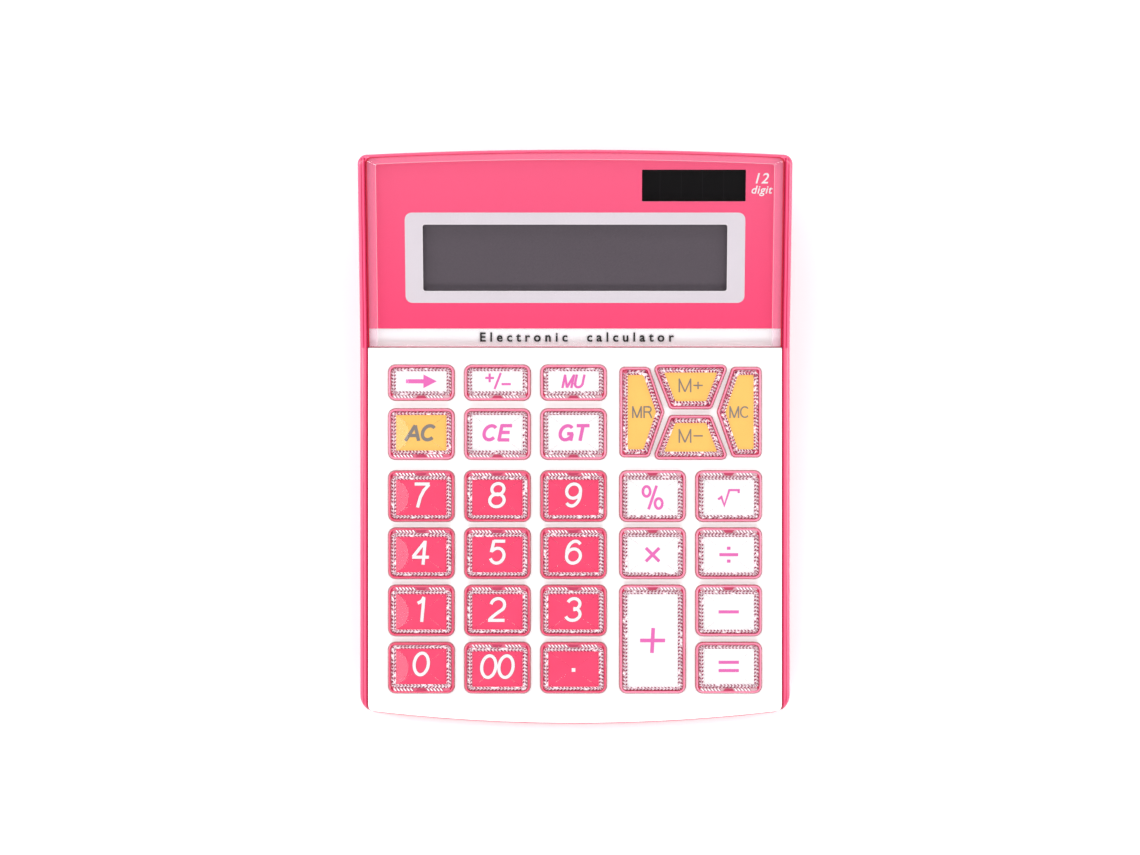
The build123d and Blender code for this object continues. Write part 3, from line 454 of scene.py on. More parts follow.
# each glyph is a list of strokes, on a body one unit high about the origin, with its width last
GLYPHS = {
    "0": ([arc(0, 0, 0.27, 0.435, 0, 360, 36)], 0.66),
    "1": ([[(-0.16, 0.25), (-0.06, 0.3), (0.02, 0.38), (0.06, 0.5)], [(0.06, 0.46), (0.06, -0.5)]], 0.5),
    "2": ([arc(0, 0.17, 0.26, 0.265, 172, -38) + [(-0.05, -0.19), (-0.24, -0.37), (-0.27, -0.44)],
           [(-0.32, -0.44), (0.31, -0.44)]], 0.66),
    "3": ([arc(-0.01, 0.21, 0.235, 0.225, 160, -90), arc(-0.01, -0.2, 0.275, 0.24, 90, -160)], 0.66),
    "4": ([[(0.11, -0.5), (0.11, 0.46)], [(0.11, 0.42), (-0.3, -0.19)], [(-0.33, -0.2), (0.31, -0.2)]], 0.68),
    "5": ([[(0.26, 0.44), (-0.17, 0.44)], [(-0.165, 0.47), (-0.235, 0.0)],
           arc(0.0, -0.14, 0.265, 0.3, 140, -158)], 0.66),
    "6": ([arc(0.01, -0.155, 0.265, 0.285, 0, 360, 30), arc(0.04, -0.02, 0.295, 0.46, 48, 192)], 0.66),
    "7": ([[(-0.29, 0.44), (0.28, 0.44)], [(0.26, 0.42), (0.08, 0.18), (-0.03, -0.1), (-0.1, -0.5)]], 0.62),
    "8": ([arc(0, 0.235, 0.23, 0.225, 0, 360, 28), arc(0, -0.215, 0.275, 0.255, 0, 360, 30)], 0.66),
    "9": ([arc(-0.01, 0.155, 0.265, 0.285, 0, 360, 30), arc(-0.04, 0.02, 0.295, 0.46, 228, 372)], 0.66),
    "A": ([[(-0.35, -0.5), (0.0, 0.46)], [(0.35, -0.5), (0.0, 0.46)], [(-0.21, -0.17), (0.21, -0.17)]], 0.8),
    "C": ([arc(0, 0, 0.33, 0.435, 42, 318, 22)], 0.8),
    "E": ([[(-0.24, -0.5), (-0.24, 0.5)], [(-0.28, 0.44), (0.3, 0.44)], [(-0.2, 0.02), (0.25, 0.02)],
           [(-0.28, -0.44), (0.31, -0.44)]], 0.74),
    "G": ([arc(0, 0, 0.33, 0.435, 42, 340, 24), [(0.31, -0.5), (0.31, -0.04)],
           [(0.36, -0.06), (0.04, -0.06)]], 0.86),
    "M": ([[(-0.33, -0.5), (-0.33, 0.5)], [(0.33, -0.5), (0.33, 0.5)], [(-0.33, 0.45), (0.0, -0.47)],
           [(0.33, 0.45), (0.0, -0.47)]], 0.86),
    "R": ([[(-0.26, -0.5), (-0.26, 0.5)],
           [(-0.3, 0.44), (0.08, 0.44)] + arc(0.08, 0.225, 0.2, 0.215, 90, -90, 10) + [(-0.26, 0.01)],
           [(0.04, 0.01), (0.16, -0.08), (0.26, -0.3), (0.33, -0.5)]], 0.78),
    "T": ([[(-0.34, 0.44), (0.34, 0.44)], [(0, 0.44), (0, -0.5)]], 0.74),
    "U": ([[(-0.28, 0.5), (-0.28, -0.16)] + arc(0, -0.16, 0.28, 0.28, 180, 360, 14) + [(0.28, 0.5)]], 0.78),
    "%": ([arc(-0.24, 0.24, 0.145, 0.2, 0, 360, 22), arc(0.24, -0.24, 0.145, 0.2, 0, 360, 22),
           [(-0.16, -0.47), (0.16, 0.47)]], 0.9),
    "+": ([[(-0.27, 0), (0.27, 0)], [(0, -0.27), (0, 0.27)]], 0.66),
    "-": ([[(-0.27, 0), (0.27, 0)]], 0.66),
    "±": ([[(-0.47, 0.13), (-0.13, 0.13)], [(-0.3, -0.04), (-0.3, 0.3)], [(-0.11, -0.3), (0.13, 0.32)],
           [(0.16, -0.11), (0.52, -0.11)]], 1.1),
    "×": ([[(-0.23, -0.23), (0.23, 0.23)], [(-0.23, 0.23), (0.23, -0.23)]], 0.6),
    "÷": ([[(-0.32, 0), (0.32, 0)], [(-0.06, 0.22), (0.06, 0.22)], [(-0.06, -0.22), (0.06, -0.22)]], 0.7),
    "=": ([[(-0.32, 0.13), (0.32, 0.13)], [(-0.32, -0.13), (0.32, -0.13)]], 0.7),
    "√": ([[(-0.36, -0.07), (-0.25, 0.02), (-0.15, -0.27), (0.02, 0.25), (0.34, 0.25), (0.34, 0.15)]], 0.8),
    "→": ([[(-0.5, 0), (0.1, 0)]], 1.0),
    "·": ([[(-0.07, 0), (0.07, 0)]], 0.2),
}
ARROW_HEAD = [(0.07, -0.22), (0.5, 0), (0.07, 0.22)]


def ribbon(points, width):
    """Left and right edges of a stroke of even width along points."""
    closed = (Vector(points[0]) - Vector(points[-1])).length < 1e-6
    if closed:
        points = points[:-1]
    left, right = [], []
    count = len(points)
    for i, point in enumerate(points):
        before = Vector(points[i - 1]) if closed or i else None
        after = Vector(points[(i + 1) % count]) if closed or i < count - 1 else None
        point = Vector(point)
        first = (point - before).normalized() if before else (after - point).normalized()
        second = (after - point).normalized() if after else first
        side = Vector((-(first + second).y, (first + second).x)).normalized()
        reach = width / 2 / max(0.5, side.dot(Vector((-first.y, first.x))))
        left.append(point + side * reach)
        right.append(point - side * reach)
    return left, right, closed


# ------------------------------------------------------------------ keys
KEY_CORNER = 2.7
MEMORY_CORNER = 1.8
PLAY = 0.2
RIM_TOP = 1.6
RING_START = 1.2  # the ring of cut facets, set in from the opening
RING_END = 2.85
HATCH_ROW = 1.0  # width of the extra row of slanted cuts on one long side
LABEL_SHIFT = 0.45
LABEL_HEIGHT = 1.0
END_SLOPE = 0.0875  # of the crystals' end facets
FACET_PITCH = 0.6
FACET_FOOT = 0.95
FACET_SWELL = 0.2
FACET_POINT = 0.35
CUT_WIDTH = 0.9  # of the dark cuts, in facets
CUT_SLANT = 0.7
CUT_HEIGHT = 1.5
CUT_ROWS = ((0.06, 0.44, 0, 1), (0.6, 0.97, 1, -1))  # start and end across the ring, offset and turn
# the dark cuts are painted shade; this share of them gets the painted glint colour instead
CLEAR_CUTS = 0.08  # share of the dark cuts that catch the light
HATCH_PITCH = 1.13
HATCH_SLANT = 0.75
HATCH_END = 2.6  # the slanted cuts stop this far short of the key's ends
HATCH_FOOT = (1.3, 1.1)  # heights by the rim and by the ring
HATCH_TOP = (1.42, 1.22)
SHADE_SHIFT = 0.18  # of the dark cut beside each pale one, in pitches
SHADE_DROP = 0.06
RIM_WIDTH = 0.9
GATE_GAP = 2.4
GATE_HALF_WIDTHS = (2.0, 1.2)
GATE_EDGES = (0.85, 1.8)
GATE_HEIGHTS = (0.9, 1.5)
KEY_WALL = 1.5
SKIRT_FOOT = -3.2
HOLLOW_ROOF = -0.6
POST_FOOT = -3.4
LABEL_FOOT = 0.4
CRYSTAL_PROFILE = [(1.25, 1.0), (1.4, 1.75), (2.55, 2.95), (2.95, 3.1)]
CRYSTAL_PEAK = 3.45
END_BULGE = 4.3  # how far the arc of an end facet reaches in
POST_RADIUS = 1.7
LEGEND_EDGE = 0.3  # the darker edge is this much wider than its stroke
EDGE_LIFT = 0.03
INK_LIFT = 0.06
STROKE_LIFT = 0.003
TRAPEZOID = [(-7.2, -7.7), (7.2, -7.7), (13.2, 7.7), (-13.2, 7.7)]
SIDE_KEY = [(-7.7, -15.5), (2.5, -15.5), (7.8, 0), (2.5, 15.5), (-7.7, 15.5)]


def turned(corners):
    """The same outline turned half round."""
    return [(-x, -y) for x, y in corners]


def profile_loops(corners, radius, profile, shift=(0, 0)):
    """Loops round a key for a profile given as (set in, height) pairs."""
    loops = []
    for inset, height in profile:
        loop = rounded(corners, radius, inset)
        loops.append([(x + shift[0], y + shift[1], height) for x, y in loop])
    return loops


def ring_point(outer, inner, across):
    return tuple(a + (b - a) * across for a, b in zip(outer, inner))


def wide_side(corners, lean, by):
    """The outline with its upper (lean 1) or lower (lean -1) side moved in."""
    extreme = max(lean * y for x, y in corners)
    return [(x, y - lean * by if lean * y > extreme - 0.01 else y) for x, y in corners]


def is_peak(i, j):
    """Whether a grid point is the tip of a facet; the two rows of tips are staggered."""
    return (j == 1 and i % 2 == 1) or (j == 3 and i % 2 == 0)


def cut_facets(node, build, corners, radius, lean, tones):
    """Two staggered rows of four-sided points, like cut glass, round the label."""
    outer_loop = rounded(wide_side(corners, lean, HATCH_ROW - 0.2), radius, RING_START, smallest=0.8)
    inner_loop = rounded(corners, radius, RING_END)
    outer, inner = [], []
    lengths = [(Vector(outer_loop[(i + 1) % len(outer_loop)]) - Vector(point)).length
               for i, point in enumerate(outer_loop)]
    shares = [max(1, round(length / FACET_PITCH)) if length > FACET_PITCH / 2 else 0 for length in lengths]
    if sum(shares) % 2:
        shares[lengths.index(max(lengths))] += 1
    for i, steps in enumerate(shares):
        j = (i + 1) % len(outer_loop)
        for step in range(steps):
            part = step / steps
            outer.append(Vector(outer_loop[i]).lerp(Vector(outer_loop[j]), part))
            label_point = Vector(inner_loop[i]).lerp(Vector(inner_loop[j]), part)
            inner.append(label_point - Vector((0, lean * LABEL_SHIFT)))
    count = len(outer)
    levels = 5
    grid = []
    for i in range(count):
        column = []
        for j in range(levels):
            across = j / (levels - 1)
            x, y = ring_point(outer[i], inner[i], across)
            base = FACET_FOOT + FACET_SWELL * sin(pi * across)
            column.append((x, y, base + (FACET_POINT if is_peak(i, j) else 0.0)))
        grid.append(column)
    rows = [build.add_points(column) for column in grid]
    sparkle = Random(f"{node} facets")
    for i in range(count):
        k = (i + 1) % count
        for j in range(levels - 1):
            square = [(i, j), (k, j), (k, j + 1), (i, j + 1)]
            peaks = [n for n, (a, b) in enumerate(square) if is_peak(a, b)]
            if not peaks:
                continue
            order = [square[(peaks[0] + n) % 4] for n in range(4)]
            peak, first, far, last = [rows[a][b] for a, b in order]
            # each facet's colour is painted light: a glint or a tint by the way it faces, the lower facets at
            # random
            build.add_face((peak, first, last), tones[facet_tone(grid, order)])
            build.add_face((first, far, last), tones[sparkle.random() < tones[3]])
    # slanted dark cuts of painted shade, one row by the rim and one by the label
    for i in range(0, count, 2):
        for start, end, offset, turn in CUT_ROWS:
            slant = turn * CUT_SLANT
            corners_of_cut = []
            for step, across in ((0, start), (CUT_WIDTH, start), (CUT_WIDTH + slant, end), (slant, end)):
                spot = i + offset + step
                before, after = int(spot) % count, (int(spot) + 1) % count
                part = spot - int(spot)
                rim_side = outer[before].lerp(outer[after], part)
                label_side = inner[before].lerp(inner[after], part)
                corners_of_cut.append((*ring_point(rim_side, label_side, across), CUT_HEIGHT))
            build.cap(corners_of_cut, tones[0 if sparkle.random() < CLEAR_CUTS else 2])


def facet_tone(grid, order):
    """Painted light on the cut facets, by the way they face: 0 painted glint, 1 tinted."""
    peak = Vector(grid[order[0][0]][order[0][1]])
    far = Vector(grid[order[2][0]][order[2][1]])
    away = (far - peak).to_2d()
    return 1 if away.x <= 0 and away.y <= 0 else 0


def hatch_row(build, corners, lean, tones):
    """Slanted cuts along the wide side, broken in the middle where the gate mark is."""
    edge = max(lean * y for x, y in corners)
    reach = max(x for x, y in corners) - HATCH_END
    outer, inner = edge - RIM_WIDTH, edge - RIM_WIDTH - HATCH_ROW
    ends = reach + RIM_WIDTH
    rim_foot, ring_foot = HATCH_FOOT
    rim_top, ring_top = HATCH_TOP
    strip = [(-ends, outer, rim_foot), (ends, outer, rim_foot),
             (ends, inner, ring_foot), (-ends, inner, ring_foot)]
    build.cap([(x, lean * y, z) for x, y, z in (strip[::-1] if lean > 0 else strip)], tones[1])
    for step in range(int(2 * reach / HATCH_PITCH)):
        x = -reach + HATCH_PITCH * step
        if abs(x + HATCH_PITCH / 4) < GATE_GAP:
            continue
        far = x + lean * HATCH_SLANT
        foot = [(x, outer, rim_top), (x + HATCH_PITCH * 0.5, outer, rim_top),
                (far + HATCH_PITCH * 0.5, inner, ring_top), (far, inner, ring_top)]
        foot = [(px, lean * py, pz) for px, py, pz in (foot[::-1] if lean > 0 else foot)]
        # each pale cut is drawn in the painted glint colour
        build.cap(foot, tones[0])
        # a thin dark foot of painted shade beside each cut
        build.cap([(px + HATCH_PITCH * SHADE_SHIFT, py, pz - SHADE_DROP) for px, py, pz in foot], tones[2])


KEY_MATERIALS = ["key_pink", "key_rose", "key_crimson", "facet_glint", "facet_blush", "facet_rose",
                 "facet_shade", "gate_red", "label_pink", "label_white", "label_yellow", "crystal",
                 "crystal_edge"]
# painted glint, tinted and painted shade colours for the cuts round each label, and the share of the lower
# facets that are tinted
TONES = {
    "label_pink": ("facet_glint", "facet_rose", "facet_shade", 0.15),
    "label_white": ("facet_glint", "facet_blush", "facet_shade", 0.5),
    "label_yellow": ("facet_glint", "facet_rose", "facet_shade", 0.4),
}


def make_key(node, u, v, corners, radius, label, legend, lean, hatched=True):
    """One key: moulded base with a rounded rim, ring of cut facets, label, legend and crystal."""
    place = KEYBOARD @ Matrix.Translation((u * MM, v * MM, 0))
    tones = TONES[label]

    base = Builder(place, KEY_MATERIALS)
    outer_wall = [(KEY_WALL, SKIRT_FOOT), (-0.35, SKIRT_FOOT), (-0.35, -2.2), (PLAY, -2.2), (PLAY, -0.9),
                  (0.03, -0.35), (0.03, 0.05), (0.2, 0.6), (0.38, 1.3)]
    crest = [(0.38, 1.3), (0.5, 1.52), (0.68, RIM_TOP), (0.84, 1.56), (0.96, 1.42)]
    inner_wall = [(0.96, 1.42), (1.02, 1.2), (1.1, 1.02), (1.22, 0.95)]
    # the rim's outer and inner walls are crimson, painted shade where the rim curves away from the light; the
    # crest between them is pink
    base.loft(profile_loops(corners, radius, outer_wall), "key_crimson")
    base.loft(profile_loops(corners, radius, crest), "key_pink" if label == "label_pink" else "key_rose")
    inner_loops = profile_loops(corners, radius, inner_wall)
    base.loft(inner_loops, "key_crimson")
    base.cap(inner_loops[-1], "key_pink")
    hollow = profile_loops(corners, radius, [(KEY_WALL, HOLLOW_ROOF), (KEY_WALL, SKIRT_FOOT)])
    base.cap(hollow[0][::-1], "key_pink")
    base.loft(hollow, "key_pink", smooth=False)
    post = [(POST_RADIUS * cos(pi * n / 12), POST_RADIUS * sin(pi * n / 12)) for n in range(24)]
    base.plate(post, POST_FOOT, -0.5, "key_pink")
    base_piece = base.finish(f"{node}_base", "key_crystal_pink", node)
    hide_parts(node)

    ring = Builder(place, KEY_MATERIALS)
    cut_facets(node, ring, corners, radius, lean if hatched else 0, tones)
    if hatched:
        hatch_row(ring, corners, lean, tones)
        top = max(lean * y for x, y in corners)
        wide, narrow = GATE_HALF_WIDTHS
        near, far = (top - edge for edge in GATE_EDGES)
        gate = [(-wide, near), (wide, near), (narrow, far), (-narrow, far)]
        gate = [(x, lean * y) for x, y in (gate[::-1] if lean > 0 else gate)]
        ring.plate(gate, *GATE_HEIGHTS, "gate_red")
    ring.finish(f"{node}_facets", "key_crystal_pink", node)

    shift = -lean * LABEL_SHIFT if hatched else 0.0
    plate = Builder(place, KEY_MATERIALS)
    label_loop = [(x, y + shift) for x, y in rounded(corners, radius, RING_END - 0.02, smallest=0.3)]
    plate.plate(label_loop, LABEL_FOOT, LABEL_HEIGHT, label)
    plate.finish(f"{node}_label", "key_crystal_pink", node)

    on_label = place @ Matrix.Translation((0, shift * MM, LABEL_HEIGHT * MM))
    make_legend(f"{node}_legend", on_label, node, **legend)

    cap = Builder(place, KEY_MATERIALS)
    cap_loops = profile_loops(corners, radius, CRYSTAL_PROFILE, (0, shift * 0.6))
    cap.loft(cap_loops, "crystal_edge", smooth=False)
    crystal_top(cap, cap_loops[-1])
    cap.finish(f"{node}_crystal", "key_crystal_pink", node)


def crystal_top(cap, loop):
    """The crystal's top: shallow facets to a middle point; a rectangle's two ends are cut off by arcs."""
    left, right = min(x for x, y, z in loop), max(x for x, y, z in loop)
    low, high = min(y for x, y, z in loop), max(y for x, y, z in loop)
    middle = (low + high) / 2
    half_height = (high - low) / 2
    is_rectangle = sum(1 for x, y, z in loop if abs(x - left) < 0.3 or abs(x - right) < 0.3) == len(loop)
    if not is_rectangle:
        centre = cap.add_points([((left + right) / 2, middle, CRYSTAL_PEAK)])[0]
        rows = cap.add_points(loop)
        for i in range(len(loop)):
            cap.add_face((rows[i], rows[(i + 1) % len(loop)], centre), "crystal", True)
        return
    edge_z = loop[0][2]
    bulge = min(END_BULGE, (right - left) / 2 - 1)
    steps = 12
    radius = (half_height**2 + bulge**2) / (2 * bulge)
    span = asin(min(1.0, half_height / radius))
    rim = []
    for side, end in ((1, right), (-1, left)):
        turns = [side * span * (2 * step / steps - 1) for step in range(steps + 1)]
        arc_points = []
        for turn in turns:
            x = end - side * (radius * cos(turn) - (radius - bulge))
            y = middle + radius * sin(turn)
            arc_points.append((x, y, edge_z + END_SLOPE * abs(end - x)))
        corner_loop = [point for point in loop if side * (point[0] - end) > -0.3]
        corner_loop.sort(key=lambda point: side * point[1])
        cap.cap(corner_loop + arc_points[::-1], "crystal")
        rim += arc_points
    centre = cap.add_points([((left + right) / 2, middle, edge_z + END_SLOPE * bulge + 0.02)])[0]
    rows = cap.add_points(rim)
    for i in range(len(rim)):
        cap.add_face((rows[i], rows[(i + 1) % len(rim)], centre), "crystal", True)


def make_legend(name, place, body, ink, text, size=8.2, stroke=1.1, slant=0.0, lift=0.0, stretch=1.0,
                edge=None):
    """A printed legend: its glyphs as strokes of even width, with a darker edge under them."""
    build = Builder(place, [ink, edge or ink])
    widths = [GLYPHS[letter][1] * size * stretch for letter in text]
    layers = [(edge, stroke + LEGEND_EDGE, EDGE_LIFT)] if edge else []
    layers.append((ink, stroke, INK_LIFT))
    for layer_ink, layer_stroke, height in layers:
        x = -sum(widths) / 2
        for letter, width in zip(text, widths):
            for points in GLYPHS[letter][0]:
                middle = x + width / 2
                drawn = [(middle + (px * stretch + py * slant) * size, py * size + lift) for px, py in points]
                left, right, closed = ribbon(drawn, layer_stroke)
                rows = [build.add_points([(*point, height) for point in side]) for side in (left, right)]
                count = len(left)
                for i in range(count if closed else count - 1):
                    j = (i + 1) % count
                    build.add_face((rows[1][i], rows[1][j], rows[0][j], rows[0][i]), layer_ink)
                height += STROKE_LIFT  # strokes of one glyph overlap, so each lies a hair above the last
            x += width
    if text == "→":
        build.cap([(px * size, py * size + lift, 0.07) for px, py in ARROW_HEAD], ink)
    return build.finish(name, "key_crystal_pink", body)


digit = dict(ink="legend_white", size=8.5, lift=0.85, slant=0.09, stretch=1.05, edge="legend_shade")
bold = dict(stroke=1.15, slant=0.21, size=5.5, stretch=1.17)
sign = dict(ink="legend_magenta", size=10.0, stroke=1.05)
NORMAL = rectangle(KEY_WIDTH, KEY_HEIGHT)
SMALL = rectangle(KEY_WIDTH, SMALL_KEY_HEIGHT)
TALL = rectangle(KEY_WIDTH, TALL_KEY_HEIGHT)
LEFT, SECOND, THIRD, FOURTH, RIGHT = COLUMNS

GRID_KEYS = [
    ("key_backspace", LEFT, SMALL_ROW, SMALL, "label_white",
     dict(sign, text="→", size=10.6, stroke=1.4), -1),
    ("key_sign", SECOND, SMALL_ROW, SMALL, "label_white", dict(sign, text="±", size=8.8, stroke=0.75), -1),
    ("key_mu", THIRD, SMALL_ROW, SMALL, "label_white",
     dict(sign, text="MU", size=4.6, stroke=0.8, slant=0.21), -1),
    ("key_ac", LEFT, CLEAR_ROW, NORMAL, "label_yellow", dict(bold, ink="legend_grey", text="AC"), -1),
    ("key_ce", SECOND, CLEAR_ROW, NORMAL, "label_white", dict(bold, ink="legend_magenta", text="CE"), -1),
    ("key_gt", THIRD, CLEAR_ROW, NORMAL, "label_white", dict(bold, ink="legend_magenta", text="GT"), -1),
    ("key_percent", FOURTH, DIGIT_ROWS[0], NORMAL, "label_white",
     dict(sign, text="%", size=8.6, stroke=0.9), 1),
    ("key_root", RIGHT, DIGIT_ROWS[0], NORMAL, "label_white", dict(sign, text="√", stroke=0.75), 1),
    ("key_multiply", FOURTH, DIGIT_ROWS[1], NORMAL, "label_white", dict(sign, text="×"), 1),
    ("key_divide", RIGHT, DIGIT_ROWS[1], NORMAL, "label_white", dict(sign, text="÷"), 1),
    ("key_plus", FOURTH, (DIGIT_ROWS[2] + DIGIT_ROWS[3]) / 2, TALL, "label_white",
     dict(sign, text="+", size=15.8, stroke=1.25, slant=0.05), 1),
    ("key_minus", RIGHT, DIGIT_ROWS[2], NORMAL, "label_white", dict(sign, text="-", size=12.8), 1),
    ("key_equals", RIGHT, DIGIT_ROWS[3], NORMAL, "label_white", dict(sign, text="=", size=10.8), -1),
    ("key_0", LEFT, DIGIT_ROWS[3], NORMAL, "label_pink", dict(digit, text="0"), -1),
    ("key_00", SECOND, DIGIT_ROWS[3], NORMAL, "label_pink", dict(digit, text="00"), 1),
    ("key_point", THIRD, DIGIT_ROWS[3], NORMAL, "label_pink",
     dict(digit, text="·", stroke=1.3, lift=-0.3), 1),
]
for number in range(1, 10):
    GRID_KEYS.append((f"key_{number}", COLUMNS[(number - 1) % 3], DIGIT_ROWS[2 - (number - 1) // 3], NORMAL,
                      "label_pink", dict(digit, text=str(number)), 1))

for node, u, v, corners, label, legend, lean in GRID_KEYS:
    make_key(node, u, v, corners, KEY_CORNER, label, legend, lean)

memory = dict(ink="legend_grey", size=4.1, stroke=0.46, stretch=1.06)
for node, offset, corners, text, lean in [
    ("key_mr", (-16.6, 0), SIDE_KEY, "MR", -1),
    ("key_mc", (16.6, 0), turned(SIDE_KEY), "MC", -1),
    ("key_m_plus", (0, 8.6), TRAPEZOID, "M+", -1),
    ("key_m_minus", (0, -8.6), turned(TRAPEZOID), "M-", -1),
]:
    u, v = MEMORY_PAD[0] + offset[0], MEMORY_PAD[1] + offset[1]
    if text[1] in "+-":
        legend = dict(memory, text=text, size=4.7, stretch=1.25, lift=0.5)
    else:
        legend = dict(memory, text=text)
    make_key(node, u, v, corners, MEMORY_CORNER, "label_yellow", legend, lean, hatched=False)

# ------------------------------------------------------------------ display
def plan_edge(x, inset):
    """How far up the display's slope the upper case's bowed rear edge is, at x."""
    radius = (UPPER_HALF**2 + REAR_BOW**2) / (2 * REAR_BOW)
    y = REAR_Y - REAR_WALL - (radius - sqrt(radius**2 - x**2))
    return (y - BEND_Y) / cos(DISPLAY_SLOPE) - inset


def display_outline(side, front, rear, corner=2.0, steps=5, rear_steps=12):
    """Outline of a sheet over the display end, set in from its sides, front and rear edge."""
    half = UPPER_HALF - side
    loop = [(-half, front), (half, front)]
    middle_turns = []
    for step in range(steps + 1):
        turn = pi / 2 * step / steps
        x = half - corner + corner * cos(turn)
        middle_turns.append((x, plan_edge(half, rear) - corner + corner * sin(turn)))
    loop += middle_turns
    for step in range(1, rear_steps):
        x = (half - corner) * (1 - 2 * step / rear_steps)
        loop.append((x, plan_edge(x, rear)))
    loop += [(-x, y) for x, y in reversed(middle_turns)]
    return loop


def hole_fill(build, outer, windows, height, material):
    """A flat sheet at one height with windows cut out of it, by a triangle fill."""
    curve = bpy.data.curves.new("sheet", "CURVE")
    curve.dimensions = "2D"
    curve.fill_mode = "BOTH"
    for loop in [outer] + windows:
        spline = curve.splines.new("POLY")
        spline.points.add(len(loop) - 1)
        for point, (x, y) in zip(spline.points, loop):
            point.co = (x, y, 0, 1)
        spline.use_cyclic_u = True
    holder = bpy.data.objects.new("sheet", curve)
    mesh = bpy.data.meshes.new_from_object(holder)
    bpy.data.objects.remove(holder)
    bpy.data.curves.remove(curve)
    build.mesh(mesh, Matrix.Translation((0, 0, height)), material)
    bpy.data.meshes.remove(mesh)


FRAME = (115.5, 31.0)
FRAME_CORNER = 2.4
WINDOW_CORNER = 0.8
SOLAR_CORNER = 0.3
WHITE_LINE = 0.5  # round the display window, both sides together
EDGE_CORNER = 1.0
SHEET_INSET = 0.12
window_loop = rounded(rectangle(*LCD_WINDOW, (0, LCD_ALONG)), WINDOW_CORNER)
solar_loop = rounded(rectangle(*SOLAR_WINDOW, SOLAR_CENTRE), SOLAR_CORNER)
frame_loop = rounded(rectangle(*FRAME, (0, LCD_ALONG)), FRAME_CORNER)
edge_size = [length + WHITE_LINE for length in LCD_WINDOW]
edge_loop = rounded(rectangle(*edge_size, (0, LCD_ALONG)), EDGE_CORNER)

mask = Builder(DISPLAY, ["print_pink_sheen", "print_white", "legend_white"])
sheet_loop = display_outline(SHEET_INSET, CLEAR_BAND, SHEET_INSET)
hole_fill(mask, sheet_loop, [frame_loop, solar_loop], SHEET_Z, "print_pink_sheen")
hole_fill(mask, frame_loop, [edge_loop], SHEET_Z, "print_white")
mask.loft([[(x, y, SHEET_Z) for x, y in loop] for loop in (edge_loop, window_loop)], "legend_white", False)
for loop in (window_loop, solar_loop):
    edge_heights = [[(x, y, z) for x, y in loop] for z in (SHEET_Z, -LENS - PRINT)]
    mask.loft(edge_heights, "print_white", False)
mask_piece = mask.finish("printed_sheet", "pink_print")
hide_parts("display_mask")

lens = Builder(DISPLAY, ["lens_clear", "lens_bevel_sheen", "lens_edge_highlight", "seam_painted_shade"])
lens_profile = [(0.05, 0.15, 0.05, -LENS), (-0.17, 0.12, -0.17, -1.5), (-0.17, 0.12, -0.17, -1.15),
                (-0.17, 0.12, -0.17, -0.85), (0.42, 0.2, 0.12, -0.8), (3.2, 0.6, 2.1, -0.06),
                (3.42, 0.75, 2.32, 0.0)]
lens_loops = []
for side, front, rear, height in lens_profile:
    corner = 2.0 if side < 1 else 0.7
    lens_loops.append([(x, y, height) for x, y in display_outline(side, front, rear, corner)])
lens.cap(lens_loops[0][::-1], "lens_clear")
# the lens's outer lip is crimson: painted shade for the dark seam between the lens and the rails
lens.loft(lens_loops[:5], "seam_painted_shade", smooth=False)
# the bevel carries the painted reflection
lens.loft(lens_loops[4:6], "lens_bevel_sheen", smooth=False)
# the narrow band at the crease carries the partly painted highlight
lens.loft(lens_loops[5:], "lens_edge_highlight", smooth=False)
lens.cap(lens_loops[-1], "lens_clear")
lens_piece = lens.finish("lens", "clear_acrylic")
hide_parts("display_lens")

# a thin crimson strip in the seam down each side of the keyboard: painted shade, standing for the lip of the
# lower half in shadow
SHADE_STRIP_NEAR = UPPER_HALF + 0.04
SHADE_STRIP_FAR = UPPER_HALF + 0.21
SHADE_STRIP_FRONT = -122.0
SHADE_STRIP_REAR = -0.5
SHADE_STRIP_HEIGHTS = (-2.5, -0.35)
shade_strips = Builder(KEYBOARD, ["seam_painted_shade"])
for side in (-1, 1):
    low_x, high_x = sorted((side * SHADE_STRIP_NEAR, side * SHADE_STRIP_FAR))
    foot = [(low_x, SHADE_STRIP_FRONT), (high_x, SHADE_STRIP_FRONT), (high_x, SHADE_STRIP_REAR), (low_x, SHADE_STRIP_REAR)]
    shade_strips.plate(foot, *SHADE_STRIP_HEIGHTS, "seam_painted_shade")
shade_strips.finish("seam_shade_strips", "pink_plastic")

CAPTION_AT = (0.7, 3.35)
NOTE_AT = (63.3, 55.6)
caption_place = DISPLAY @ Matrix.Translation((CAPTION_AT[0] * MM, CAPTION_AT[1] * MM, LETTER_Z * MM))
caption = Builder(caption_place, ["legend_black"])
letters = lettering("Electronic  calculator", 4.4, weight=0.1, spacing=1.62)
caption.mesh(letters, Matrix.Identity(4), "legend_black")
caption.finish("strip_lettering", "pink_print")

note_place = DISPLAY @ Matrix.Translation((NOTE_AT[0] * MM, NOTE_AT[1] * MM, LETTER_Z * MM))
digits_note = Builder(note_place, ["legend_white"])
for text, size, y in (("12", 5.0, 2.3), ("digit", 3.8, -2.0)):
    letters = lettering(text, size, shear=0.25, weight=0.05, spacing=1.08)
    digits_note.mesh(letters, Matrix.Translation((0, y, 0)), "legend_white")
digits_note.finish("digits_lettering", "pink_print")

